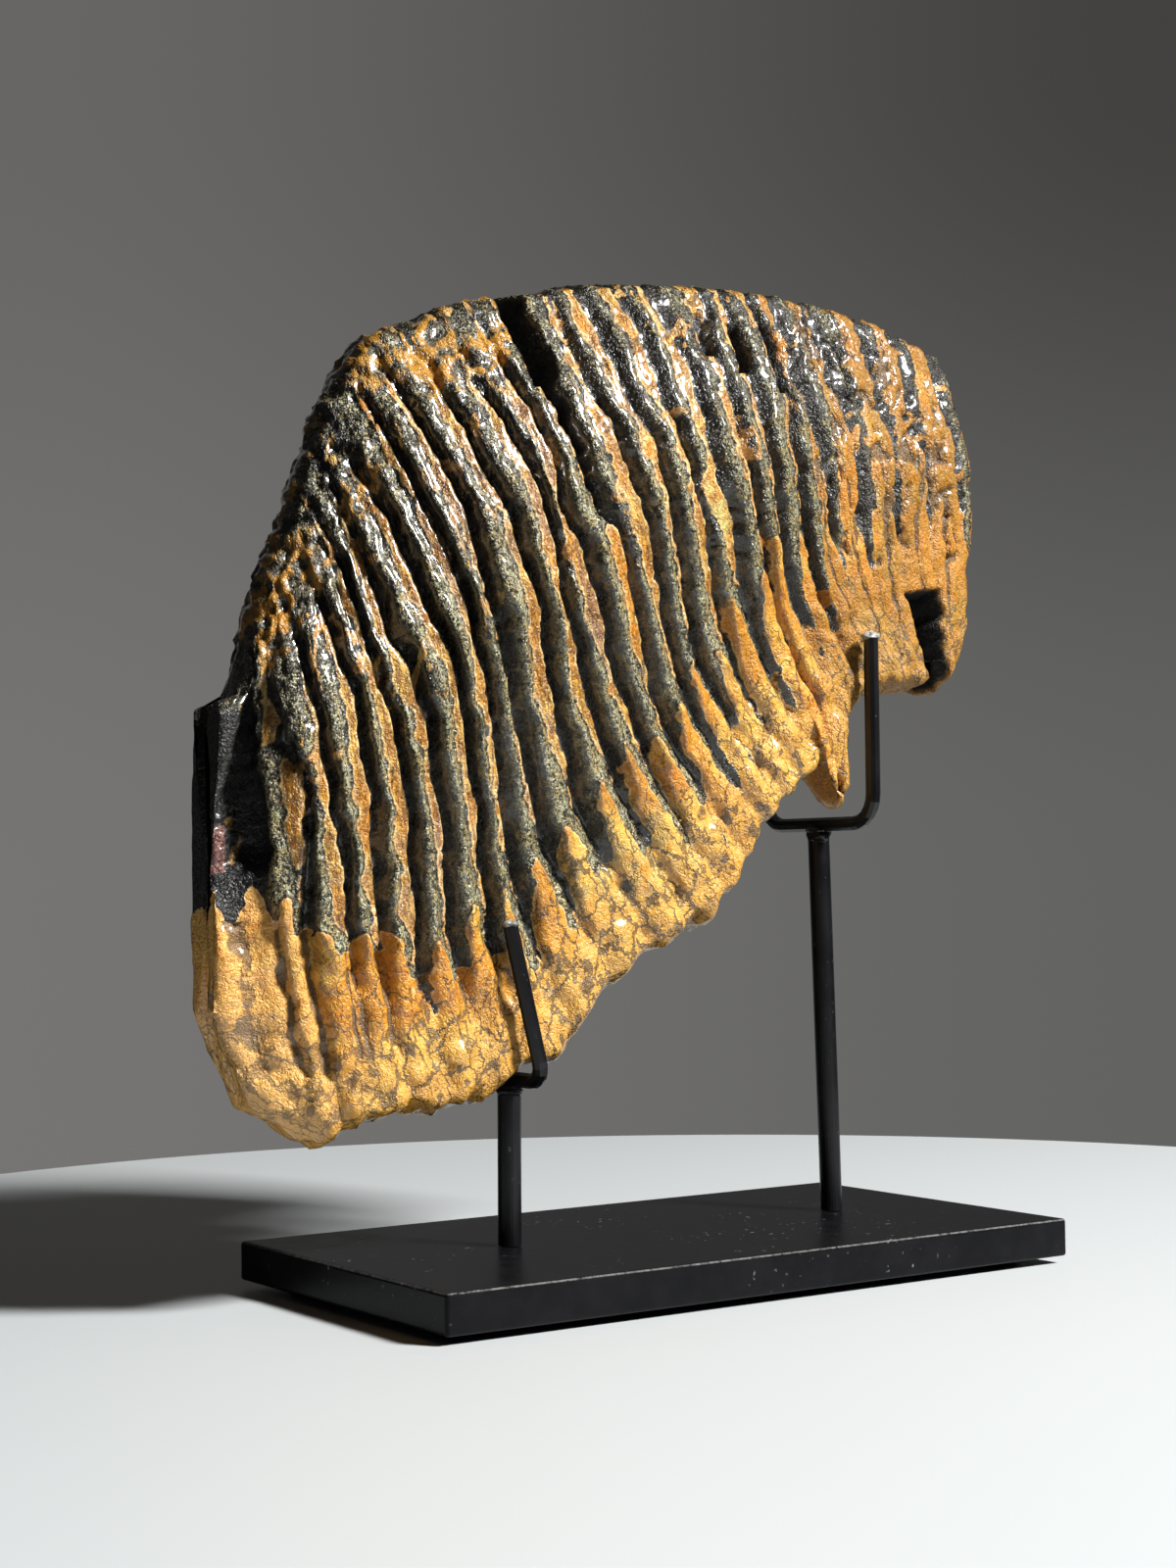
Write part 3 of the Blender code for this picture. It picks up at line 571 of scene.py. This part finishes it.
def buildTooth():
    rings, masks = toothSurface()
    rows, points = rings.shape[0] - 1, rings.shape[1]
    bm = bmesh.new()
    bmesh.ops.create_uvsphere(bm, u_segments=points, v_segments=rows, radius=1)
    bm.verts.ensure_lookup_table()
    globe = np.array([vert.co for vert in bm.verts])
    row = np.rint(np.arccos(np.clip(globe[:, 2], -1, 1)) / math.pi * rows).astype(int)
    point = np.rint(np.arctan2(globe[:, 1], globe[:, 0]) / (2 * math.pi) * points).astype(int) % points
    ends = (row == 0) | (row == rows)
    place = rings[row, point]
    place[ends] = rings[row[ends]].mean(axis=1)
    margin = 0.2  # mm kept inside the solid part's box
    low, high = np.array(cadBox[0]) / mm + margin, np.array(cadBox[1]) / mm - margin
    place = np.clip(place, low, high) * mm
    for vert, spot in zip(bm.verts, place):
        vert.co = spot
    bm.normal_update()
    bmesh.ops.recalc_face_normals(bm, faces=bm.faces)
    if bm.calc_volume(signed=True) < 0:
        bmesh.ops.reverse_faces(bm, faces=bm.faces)  # faces point outwards
    piece = meshPiece("toothBody", bm)
    for name, group in masks.items():
        layer = piece.data.attributes.new(name, "FLOAT_VECTOR", "POINT")
        layer.data.foreach_set("vector", np.stack(group, axis=-1)[row, point].astype(np.float32).ravel())
    return piece


def newMaterial(name):
    material = bpy.data.materials.new(name)
    material.use_nodes = True
    tree = material.node_tree
    return material, tree, tree.nodes["Principled BSDF"]


class Wiring:  # short calls for laying out shader nodes
    def __init__(self, tree):
        self.tree = tree
        self.coords = tree.nodes.new("ShaderNodeTexCoord").outputs["Object"]

    def feed(self, socket, value):
        if isinstance(value, bpy.types.NodeSocket):
            self.tree.links.new(value, socket)
        elif value is not None:
            socket.default_value = value

    def node(self, kind, given):  # new node with values or links on the named or numbered inputs
        made = self.tree.nodes.new("ShaderNode" + kind)
        for key, value in given.items():
            self.feed(made.inputs[key], value)
        return made

    def noise(self, scale, detail=3.0, rough=0.6, vector=None, output="Fac"):
        given = {"Vector": vector or self.coords, "Scale": scale, "Detail": detail, "Roughness": rough}
        return self.node("TexNoise", given).outputs[output]

    def cellEdges(self, vector):  # distance to the nearest border between cells
        made = self.node("TexVoronoi", {"Vector": vector, "Scale": 1})
        made.feature = "DISTANCE_TO_EDGE"
        return made.outputs["Distance"]

    def math(self, kind, first, second=None, third=None):
        made = self.tree.nodes.new("ShaderNodeMath")
        made.operation = kind
        for socket, value in zip(made.inputs, (first, second, third)):
            self.feed(socket, value)
        return made.outputs[0]

    def plus(self, first, second):
        return self.math("ADD", first, second)

    def minus(self, first, second):
        return self.math("SUBTRACT", first, second)

    def times(self, first, second):
        return self.math("MULTIPLY", first, second)

    def scaled(self, value, factor, offset):  # value * factor + offset
        return self.math("MULTIPLY_ADD", value, factor, offset)

    def larger(self, first, second):
        return self.math("MAXIMUM", first, second)

    def distance(self, value, centre):
        return self.math("ABSOLUTE", self.minus(value, centre))

    def vectorMath(self, kind, *values):
        made = self.tree.nodes.new("ShaderNodeVectorMath")
        made.operation = kind
        for socket, value in zip(made.inputs, values):
            self.feed(socket, value)
        return made.outputs

    def ramp(self, value, low, high, first=0.0, last=1.0):
        made = self.tree.nodes.new("ShaderNodeMapRange")
        made.interpolation_type = "SMOOTHSTEP"
        for socket, given in zip(made.inputs, (value, low, high, first, last)):
            self.feed(socket, given)
        return made.outputs[0]

    def mix(self, share, first, second):
        made = self.tree.nodes.new("ShaderNodeMix")
        made.data_type = "RGBA"
        for socket, value in zip((0, 6, 7), (share, first, second)):
            self.feed(made.inputs[socket], value)
        return made.outputs[2]

    def apart(self, vector):  # its x, y and z
        return self.node("SeparateXYZ", {0: vector}).outputs

    def attribute(self, name):
        made = self.tree.nodes.new("ShaderNodeAttribute")
        made.attribute_name = name
        return made.outputs["Vector"]

    def stretched(self, vector, scale):
        return self.node("Mapping", {"Vector": vector, "Scale": scale}).outputs[0]

    def bump(self, height, distance):
        return self.node("Bump", {"Strength": 1.0, "Distance": distance, "Height": height}).outputs[0]

    def group(self, tree, given):
        made = self.tree.nodes.new("ShaderNodeGroup")
        made.node_tree = tree
        for key, value in given.items():
            self.feed(made.inputs[key], value)
        return made.outputs


def tint(red, green, blue):  # a colour given as it looks on screen, 0 to 255
    return tuple((part / 255) ** 2.2 for part in (red, green, blue)) + (1,)


toothLook = {
    "enamel": tint(42, 38, 25), "enamelPaintedShade": tint(30, 26, 17), "fleck": tint(172, 168, 128),
    "warmFleck": tint(172, 152, 90), "dimFleck": tint(50, 47, 34), "paintedGlint": tint(204, 196, 164),
    "enamelFibre": tint(124, 112, 76), "plate": tint(16, 14, 11), "plateFleck": tint(78, 75, 68),
    "gold": tint(216, 162, 62), "deepGold": tint(198, 128, 8), "brownGold": tint(158, 98, 16),
    "rootGold": tint(204, 150, 62), "leftGold": tint(242, 180, 96), "pink": tint(184, 136, 98),
    "deepPink": tint(116, 74, 44), "fibre": tint(118, 74, 28), "shade": tint(120, 80, 36),
    "lip": tint(214, 180, 118), "orange": tint(212, 128, 6), "pale": tint(206, 186, 108),
    "lightGrain": tint(220, 176, 96), "darkGrain": tint(126, 84, 30), "brow": tint(232, 202, 146),
    "ochre": tint(152, 100, 0), "dullOchre": tint(130, 92, 18), "crack": tint(66, 52, 32),
    "rim": tint(14, 11, 7), "bowl": tint(40, 36, 27), "bowlFleck": tint(104, 96, 74),
    "knob": tint(196, 148, 68), "deepKnob": tint(176, 120, 34), "hollow": tint(10, 8, 6),
    "chunk": tint(84, 48, 42), "chunkFleck": tint(140, 98, 86),
    "specular": 0.6, "coatRoughness": 0.13, "bumpHeight": 0.00045,
}


def enamelColour(w, parts):  # near black, with ragged grey and olive flecks on the crests, more of them where the crest is painted as lit; painted shade darkens each ridge's left flank
    look = toothLook
    lane, rise, high = parts["lane"], parts["rise"], parts["high"]
    fine, speck, medium = parts["fine"], parts["speck"], parts["medium"]
    lit = w.ramp(w.scaled(medium, 0.6, w.minus(parts["crestLighting"], 0.3)), 0.12, 0.7)
    tone = w.mix(w.ramp(medium, 0.42, 0.6), look["fleck"], look["warmFleck"])
    tone = w.mix(w.ramp(speck, 0.38, 0.6), w.mix(0.55, tone, look["dimFleck"]), tone)
    flecks = w.scaled(fine, 0.45, w.scaled(speck, 0.3, w.times(parts["flecked"], 0.3)))
    flecks = w.plus(flecks, w.scaled(lit, 0.07, w.times(high, -0.045)))
    flecks = w.times(w.ramp(flecks, 0.57, 0.612), w.ramp(lane, 13, 18, 0.85, 0.65))
    # painted glints: tiny near-white points on the lit part of the crests, fewer at the right end
    paintedGlint = w.times(w.ramp(fine, 0.45, 0.53), w.ramp(lane, 13, 18, 0.85, 0.4))
    paintedGlint = w.times(w.times(w.ramp(speck, 0.56, 0.63), paintedGlint), lit)
    fibres = w.times(w.ramp(parts["fibre"], 0.55, 0.68), w.scaled(high, -0.2, 0.4))
    enamel = w.mix(flecks, look["enamel"], tone)
    enamel = w.mix(paintedGlint, enamel, look["paintedGlint"])
    enamel = w.mix(fibres, enamel, look["enamelFibre"])
    # painted shade: each ridge's unlit left flank turns near black
    enamel = w.mix(w.scaled(lit, 0.86, 0.14), look["enamelPaintedShade"], enamel)
    # near-black plate at the left end, also spread over the trough beside it: dark enamel darkened further
    # with painted shade
    plate = w.mix(w.ramp(speck, 0.6, 0.75), look["plate"], look["plateFleck"])
    plateAndShadedTrough = w.times(w.ramp(lane, 0.68, 0.52), w.ramp(rise, 0.96, 0.92))
    return w.mix(plateAndShadedTrough, enamel, plate), plateAndShadedTrough


def cementColour(w, parts, inRoot, brow):  # tan to golden, browner and pinker in the upper valleys
    look = toothLook
    lane, rise, fine, medium = parts["lane"], parts["rise"], parts["fine"], parts["medium"]
    brown, orange = parts["brown"], parts["orange"]
    gold = w.mix(w.ramp(parts["broad"], 0.4, 0.6), look["gold"], look["deepGold"])
    browner = w.times(w.ramp(medium, 0.47, 0.66), w.scaled(inRoot, -0.35, 0.8))
    gold = w.mix(browner, gold, look["brownGold"])
    gold = w.mix(w.times(w.ramp(rise, 0.16, 0.04), 0.7), gold, look["rootGold"])
    gold = w.mix(w.times(inRoot, w.ramp(lane, 1.8, 0.4, 0.0, 0.7)), gold, look["leftGold"])
    pink = w.mix(w.ramp(medium, 0.38, 0.6), look["pink"], look["deepPink"])
    valley = w.mix(w.ramp(w.scaled(brown, 0.5, parts["streak"]), 0.66, 0.9), gold, pink)
    valley = w.mix(w.times(w.ramp(parts["fibre"], 0.48, 0.56), 0.75), valley, look["fibre"])
    valley = w.mix(w.times(parts["shade"], w.ramp(medium, 0.25, 0.6, 0.15, 0.6)), valley, look["shade"])
    valley = w.mix(w.times(parts["lip"], w.ramp(fine, 0.36, 0.56, 0.1, 0.7)), valley, look["lip"])
    body = w.mix(inRoot, valley, w.mix(w.times(brown, 0.5), gold, pink))
    oranger = w.ramp(w.scaled(orange, 0.4, w.times(medium, 0.7)), 0.5, 0.85)
    for share, tone in (
        (w.times(oranger, 0.85), "orange"),
        (w.times(parts["pale"], w.ramp(medium, 0.35, 0.6)), "pale"),
        (w.times(w.ramp(fine, 0.5, 0.66), 0.5), "lightGrain"),
        (w.times(w.ramp(fine, 0.46, 0.34), w.scaled(inRoot, -0.15, 0.45)), "darkGrain"),
        (w.times(brow, w.ramp(medium, 0.3, 0.6, 0.75, 0.35)), "brow"),
    ):
        body = w.mix(share, body, look[tone])
    ochre = w.mix(w.ramp(medium, 0.3, 0.6), look["dullOchre"], look["ochre"])
    return w.mix(w.times(w.ramp(lane, 16.0, 20.0, 0.0, 0.8), w.scaled(orange, -0.5, 1.0)), body, ochre)


def cementLines(w, parts, inRoot, laneVector):  # cracks, hair lines, stains and seams in the cement
    lane, rise, medium = parts["lane"], parts["rise"], parts["medium"]
    bend = w.noise(210, 3, 0.65, output="Color")
    bent = w.vectorMath("MULTIPLY_ADD", bend, (0.55, 0.05, 0.3), laneVector)[0]
    crackle = w.cellEdges(w.stretched(bent, (2.1, 17, 5)))
    thin = w.scaled(parts["broad"], 0.05, w.scaled(medium, 0.05, crackle))
    thin = w.minus(thin, w.times(w.ramp(lane, 8, 12, 0.02, 0.0), w.ramp(rise, 0.32, 0.2)))
    thin = w.plus(thin, w.times(w.ramp(lane, 1.2, 0.4), w.ramp(rise, 0.1, 0.3, 0.0, 0.03)))
    crack = w.ramp(w.scaled(w.ramp(rise, 0.1, 0.3), 0.02, thin), 0.086, 0.066)
    stain = w.times(w.ramp(w.scaled(parts["streak"], 0.5, medium), 0.96, 0.98), w.ramp(rise, 0.2, 0.08))
    hair = w.ramp(w.distance(parts["flecked"], 0.5), 0.014, 0.006)
    hair = w.times(hair, w.ramp(medium, 0.42, 0.55, 0.0, 0.75))
    lines = w.times(w.larger(crack, stain), w.scaled(inRoot, 0.8, 0.2))
    lines = w.times(lines, w.ramp(lane, 1.5, 3.0, 0.8, 1.0))
    seams = w.ramp(w.scaled(parts["fine"], 0.8, parts["seam"]), 1.0, 0.75)
    return w.larger(w.larger(lines, hair), seams)


def toothFinish():
    material, tree, shader = newMaterial("toothFossil")
    w = Wiring(tree)
    look = toothLook
    laneVector = w.attribute("toothLane")
    parts = {}
    for vector, names in (
        (w.attribute("toothEdges"), ("cement", "rooted", "dark")),
        (w.attribute("toothRelief"), ("crestLighting", "high", "worn")),
        (laneVector, ("lane", "rise", "across")),
        (w.attribute("toothCleft"), ("seam", "shade", "lip")),
        (w.attribute("toothTones"), ("orange", "brown", "pale")),
        (w.attribute("toothBlend"), ("broad", "medium", "streak")),
    ):
        parts.update(zip(names, w.apart(vector)))
    fine = w.noise(1000, 3, 0.65)
    speck = w.noise(2300, 1, 0.7)
    flecked = w.noise(620, 2, 0.6)
    fibre = w.noise(1, 2, 0.6, w.stretched(laneVector, (15, 28, 8)))
    parts.update({"fine": fine, "speck": speck, "flecked": flecked, "fibre": fibre})
    lane, rise, high = parts["lane"], parts["rise"], parts["high"]
    worn, broad, medium = parts["worn"], parts["broad"], parts["medium"]

    # where the cement lies
    wander = w.scaled(w.minus(medium, 0.5), 1.7, w.scaled(fine, 0.8, -0.4))
    edge = w.plus(parts["cement"], wander)
    onCement = w.ramp(edge, -0.08, 0.1)
    offCement = w.minus(1.0, onCement)
    rim = w.times(w.ramp(edge, -0.6, -0.05), offCement)
    brow = w.times(w.ramp(edge, 0.08, 0.22), w.ramp(edge, 0.62, 0.38))
    inRoot = w.ramp(w.plus(parts["rooted"], wander), -0.3, 0.5)
    hollow = w.ramp(w.scaled(fine, 1.2, w.minus(parts["dark"], 0.6)), 0.0, 0.8)

    enamel, plateAndShadedTrough = enamelColour(w, parts)
    lines = cementLines(w, parts, inRoot, laneVector)
    body = w.mix(w.times(lines, 0.8), cementColour(w, parts, inRoot, brow), look["crack"])
    colour = w.mix(onCement, enamel, body)
    # painted shade: a thin near-black crease on the enamel along each cement edge
    colour = w.mix(w.times(rim, 0.85), colour, look["rim"])

    # knobs of the worn end: ochre tops, grey and black bowls
    onKnob = w.ramp(w.scaled(medium, 1.6, worn), 1.1, 1.35)
    wearHere = w.times(w.ramp(worn, 0.02, 0.2), w.ramp(w.scaled(parts["streak"], 0.5, broad), 0.7, 0.82))
    bowl = w.mix(w.ramp(fine, 0.45, 0.55), look["bowl"], look["bowlFleck"])
    knob = w.mix(broad, look["knob"], look["deepKnob"])
    colour = w.mix(wearHere, colour, w.mix(onKnob, bowl, knob))
    # painted shade: near black inside the slots, the root cavity and the gutter beside the left-end plate
    colour = w.mix(hollow, colour, look["hollow"])

    # red-brown broken chunk on the left end
    chunk = w.times(w.ramp(w.distance(lane, chunkBox["lane"]), *chunkBox["halfLane"]),
                    w.ramp(w.distance(rise, chunkBox["rise"]), *chunkBox["halfRise"]))
    chunk = w.times(chunk, w.ramp(parts["across"], 0.6, 0.4))
    colour = w.mix(chunk, colour, w.mix(w.ramp(fine, 0.45, 0.6), look["chunk"], look["chunkFleck"]))
    w.feed(shader.inputs["Base Color"], colour)

    gloss = w.scaled(w.ramp(fine, 0.35, 0.7), 0.14, w.scaled(high, 0.07, 0.22))
    gloss = w.scaled(inRoot, 0.14, w.plus(gloss, w.ramp(lane, 16, 20, 0.0, 0.12)))
    dull = w.larger(hollow, w.times(w.times(plateAndShadedTrough, offCement), 0.75))
    w.feed(shader.inputs["Roughness"], w.scaled(dull, 0.12, gloss))
    coat = w.scaled(inRoot, -0.28, w.scaled(high, 0.35, w.ramp(lane, 15, 20, 1.0, 0.25)))
    w.feed(shader.inputs["Coat Weight"], w.times(coat, w.minus(1.0, dull)))
    shader.inputs["Coat Roughness"].default_value = look["coatRoughness"]
    shader.inputs["Specular IOR Level"].default_value = look["specular"]
    creases = w.math("MINIMUM", w.distance(flecked, 0.5), 0.09)
    creases = w.times(creases, w.scaled(high, 0.25, w.scaled(inRoot, -0.4, 1.4)))
    height = w.scaled(speck, 0.35, w.times(fine, w.scaled(high, -0.3, 1.0)))
    height = w.scaled(lines, -0.5, w.scaled(creases, 3.2, height))
    w.feed(shader.inputs["Normal"], w.bump(height, look["bumpHeight"]))
    return material


standLook = {
    "paint": ((0.003, 0.003, 0.0036, 1), (0.0055, 0.0055, 0.0065, 1)), "paintCloud": 90,
    "rubber": ((0.006, 0.006, 0.006, 1), (0.012, 0.012, 0.012, 1)), "rubberRoughness": 0.85,
    "glue": ((0.08, 0.077, 0.07, 1), (0.34, 0.33, 0.3, 1)), "glueRoughness": 0.35, "plainCloud": 700,
    "lint": (0.3, 0.3, 0.3, 1), "lintScale": 600, "wornEdge": (0.2, 0.2, 0.19, 1),
    "coat": 0.03, "coatRoughness": 0.15, "paintBump": 0.00003, "plainBump": 0.0002,
    "plateMiddle": 0.012, "plateHalf": 0.0975, "plateFront": -0.05125, "plateTop": 0.012,  # in metres
}


def mottleGroup():  # cloudy two-colour mottle with lint on it, shared by the stand's finishes
    group = bpy.data.node_groups.new("mottle", "ShaderNodeTree")
    for way, sockets in (
        ("INPUT", (("Scale", "Float"), ("Dark", "Color"), ("Light", "Color"), ("Lint", "Float"))),
        ("OUTPUT", (("Colour", "Color"), ("Cloud", "Float"))),
    ):
        for key, kind in sockets:
            group.interface.new_socket(key, in_out=way, socket_type="NodeSocket" + kind)
    given = group.nodes.new("NodeGroupInput").outputs
    made = group.nodes.new("NodeGroupOutput").inputs
    w = Wiring(group)
    cloud = w.noise(given["Scale"], 3, 0.6)
    colour = w.mix(w.ramp(cloud, 0.35, 0.65), given["Dark"], given["Light"])
    fluff = w.times(w.ramp(w.noise(standLook["lintScale"], 1), 0.7, 0.74), given["Lint"])
    w.feed(made["Colour"], w.mix(fluff, colour, standLook["lint"]))
    w.feed(made["Cloud"], cloud)
    return group


def wornEdges(w, paint):  # bare metal along the plate's front and end edges
    x, y, z = w.apart(w.coords)
    end = w.minus(w.distance(x, standLook["plateMiddle"]), standLook["plateHalf"])
    front = w.minus(y, standLook["plateFront"])
    top = w.minus(z, standLook["plateTop"])
    high = w.math("POWER", top, 2.0)
    fromEnd, fromFront = (w.math("SQRT", w.plus(w.math("POWER", side, 2.0), high)) for side in (end, front))
    wear = w.larger(w.ramp(fromFront, 0.0006, 0.0003), w.times(w.ramp(fromEnd, 0.0007, 0.0004), 0.3))
    wear = w.times(wear, w.ramp(w.noise(600, 4, 0.7), 0.3, 0.62))
    return w.mix(wear, paint, standLook["wornEdge"])


def steelFinish(name, smooth, shine, plate=False):  # black paint; the plate has lint and a worn edge
    material, tree, shader = newMaterial(name)
    w = Wiring(tree)
    dark, light = standLook["paint"]
    lint = w.times(w.ramp(w.noise(45, 2), 0.5, 0.7), 0.5) if plate else 0.1
    given = {"Scale": standLook["paintCloud"], "Dark": dark, "Light": light, "Lint": lint}
    paint, cloud = w.group(mottle, given)
    w.feed(shader.inputs["Base Color"], wornEdges(w, paint) if plate else paint)
    w.feed(shader.inputs["Roughness"], w.scaled(cloud, 0.14, smooth))
    shader.inputs["Specular IOR Level"].default_value = shine
    shader.inputs["Coat Weight"].default_value = standLook["coat"]
    shader.inputs["Coat Roughness"].default_value = standLook["coatRoughness"]
    w.feed(shader.inputs["Normal"], w.bump(w.noise(1500, 2, 0.6), standLook["paintBump"]))
    return material


def plainFinish(name, look):  # dull mottled rubber or glue
    material, tree, shader = newMaterial(name)
    w = Wiring(tree)
    dark, light = standLook[look]
    given = {"Scale": standLook["plainCloud"], "Dark": dark, "Light": light, "Lint": 0.0}
    colour, cloud = w.group(mottle, given)
    w.feed(shader.inputs["Base Color"], colour)
    shader.inputs["Roughness"].default_value = standLook[look + "Roughness"]
    w.feed(shader.inputs["Normal"], w.bump(cloud, standLook["plainBump"]))
    return material


joints = {  # beads at the stand's joints, in mm
    "weldRight": {"place": (67.5, -0.2, 115.9), "size": (3.5, 3.5, 2.7), "rough": 0.35, "seed": 81},
    "weldLeft": {"place": (-35.4, -0.1, 51.0), "size": (3.4, 3.4, 1.9), "rough": 0.3, "seed": 82},
    "glueRight": {"place": (67.7, -23.0, 169.5), "size": (2.7, 1.9, 1.5), "rough": 0.4, "seed": 83},
    "glueLeft": {"place": (-44.9, -16.2, 93.6), "size": (2.3, 1.8, 1.0), "rough": 0.3, "seed": 84},
}


def buildBead(name, settings):  # lumpy bead of weld or glue at a joint
    bm = bmesh.new()
    bmesh.ops.create_uvsphere(bm, u_segments=48, v_segments=24, radius=1)
    globe = np.array([vert.co for vert in bm.verts])
    seed = settings["seed"]
    lumps = grain(globe + 7, 0.8, seed) + 0.5 * grain(globe, 0.35, seed)
    swell = 1 + settings["rough"] * 0.35 * lumps
    place = (globe * swell[:, None] * np.array(settings["size"]) + np.array(settings["place"])) * mm
    for vert, spot in zip(bm.verts, place):
        vert.co = spot
    piece = meshPiece(name, bm)
    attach(piece, "root")
    return piece


tooth = buildTooth()
tooth.data.materials.append(toothFinish())
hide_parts("tooth")
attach(tooth, "root")
print("tooth modelled", len(tooth.data.polygons))

mottle = mottleGroup()
rodSteel = steelFinish("blackRod", 0.24, 0.35)
plateSteel = steelFinish("blackPlate", 0.28, 0.08, True)
rubber = plainFinish("blackRubber", "rubber")
glue = plainFinish("paleGlue", "glue")
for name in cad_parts:
    if name != "tooth":
        chosen = plateSteel if name == "base_plate" else rubber if name.startswith("pad") else rodSteel
        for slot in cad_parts[name].material_slots:
            slot.material = chosen
for name, settings in joints.items():
    bead = buildBead(name, settings)
    bead.data.materials.append(glue if name.startswith("glue") else rodSteel)
print("stand finished")


stage = {
    "tableColour": (0.5, 0.52, 0.52, 1), "tableCentre": (0.0373, 0.0115, 0), "tableRadius": 0.328,
    "tableRoughness": 0.45, "tableThick": 0.03,
    "wallFar": 1.3, "wallHalf": 1.1,
    "wallLeft": (tint(103, 102, 100), tint(117, 116, 114)), "wallRight": (tint(68, 67, 65), tint(99, 99, 97)),
    "lightWay": (0.382, -0.669, 0.637), "lightAim": (0.0, 0.0, 0.14), "lightFar": 1.6,
    "lightSize": 0.3, "lightPower": 72, "ambient": 0.035,
    "cameraPlace": (-374.5, -528.2, 105.05), "yaw": 34.595, "pitch": 2.1625, "roll": -0.57,
    "lens": 56.6,
}
yaw = math.radians(stage["yaw"])
levelWay = Vector((math.cos(yaw), -math.sin(yaw), 0))  # to the right of the view
awayWay = Vector((math.sin(yaw), math.cos(yaw), 0))


def stagePiece(name, bm, material):
    mesh = bpy.data.meshes.new(name)
    bm.to_mesh(mesh)
    bm.free()
    mesh.materials.append(material)
    piece = bpy.data.objects.new(name, mesh)
    bpy.context.collection.objects.link(piece)


def buildTable():
    radius, thick = stage["tableRadius"], stage["tableThick"]
    under = Vector(stage["tableCentre"]) - Vector((0, 0, thick / 2))
    bm = bmesh.new()
    bmesh.ops.create_cone(
        bm, cap_ends=True, segments=128, radius1=radius, radius2=radius, depth=thick,
        matrix=Matrix.Translation(under),
    )
    material, tree, shader = newMaterial("paleTable")
    shader.inputs["Base Color"].default_value = stage["tableColour"]
    shader.inputs["Roughness"].default_value = stage["tableRoughness"]
    stagePiece("tableTop", bm, material)


def buildWall():  # glowing grey wall with painted soft shading, darker to the right and towards the top
    bm = bmesh.new()
    turn = Matrix((levelWay, Vector((0, 0, 1)), -awayWay)).transposed().to_4x4()
    place = Matrix.Translation(awayWay * stage["wallFar"]) @ turn
    bmesh.ops.create_grid(bm, x_segments=1, y_segments=1, size=stage["wallHalf"], matrix=place)
    material, tree, shader = newMaterial("greyWall")
    w = Wiring(tree)
    side = w.ramp(w.vectorMath("DOT_PRODUCT", w.coords, tuple(levelWay))["Value"], -0.5, 0.5)
    lower = w.ramp(w.apart(w.coords)[2], 0.75, 0.1)
    glow = w.mix(side, w.mix(lower, *stage["wallLeft"]), w.mix(lower, *stage["wallRight"]))
    w.feed(shader.inputs["Emission Color"], glow)
    shader.inputs["Emission Strength"].default_value = 1.0
    shader.inputs["Base Color"].default_value = (0, 0, 0, 1)
    shader.inputs["Specular IOR Level"].default_value = 0
    stagePiece("backWall", bm, material)


def setWorld():
    world = bpy.data.worlds.new("studio")
    world.use_nodes = True
    sky = world.node_tree.nodes["Background"]
    sky.inputs["Color"].default_value = (0.5, 0.5, 0.5, 1)
    sky.inputs["Strength"].default_value = stage["ambient"]
    scene = bpy.context.scene
    scene.world = world
    scene.view_settings.view_transform = "Standard"
    scene.cycles.max_bounces = 4
    scene.cycles.adaptive_threshold = 0.03
    scene.cycles.caustics_reflective = False


def addLight():  # one square lamp, high on the right
    aim = Vector(stage["lightAim"])
    place = aim + Vector(stage["lightWay"]).normalized() * stage["lightFar"]
    light = bpy.data.lights.new("key", "AREA")
    light.shape = "RECTANGLE"
    light.size = light.size_y = stage["lightSize"]
    light.energy = stage["lightPower"]
    lamp = bpy.data.objects.new("key", light)
    lamp.location = place
    lamp.rotation_euler = (aim - place).to_track_quat("-Z", "Y").to_euler()
    bpy.context.collection.objects.link(lamp)


def addCamera():
    camera = bpy.data.cameras.new("camera")
    camera.sensor_fit = "VERTICAL"
    camera.sensor_height = 36
    camera.lens = stage["lens"]
    pitch, roll = math.radians(stage["pitch"]), math.radians(stage["roll"])
    forward = awayWay * math.cos(pitch) + Vector((0, 0, math.sin(pitch)))
    upward = levelWay.cross(forward)
    right = levelWay * math.cos(roll) + upward * math.sin(roll)
    up = -levelWay * math.sin(roll) + upward * math.cos(roll)
    turn = Matrix((right, up, -forward)).transposed()
    holder = bpy.data.objects.new("camera", camera)
    holder.matrix_world = Matrix.Translation(Vector(stage["cameraPlace"]) * mm) @ turn.to_4x4()
    bpy.context.collection.objects.link(holder)
    bpy.context.scene.camera = holder


buildTable()
buildWall()
setWorld()
addLight()
addCamera()
print("table, light and camera placed")
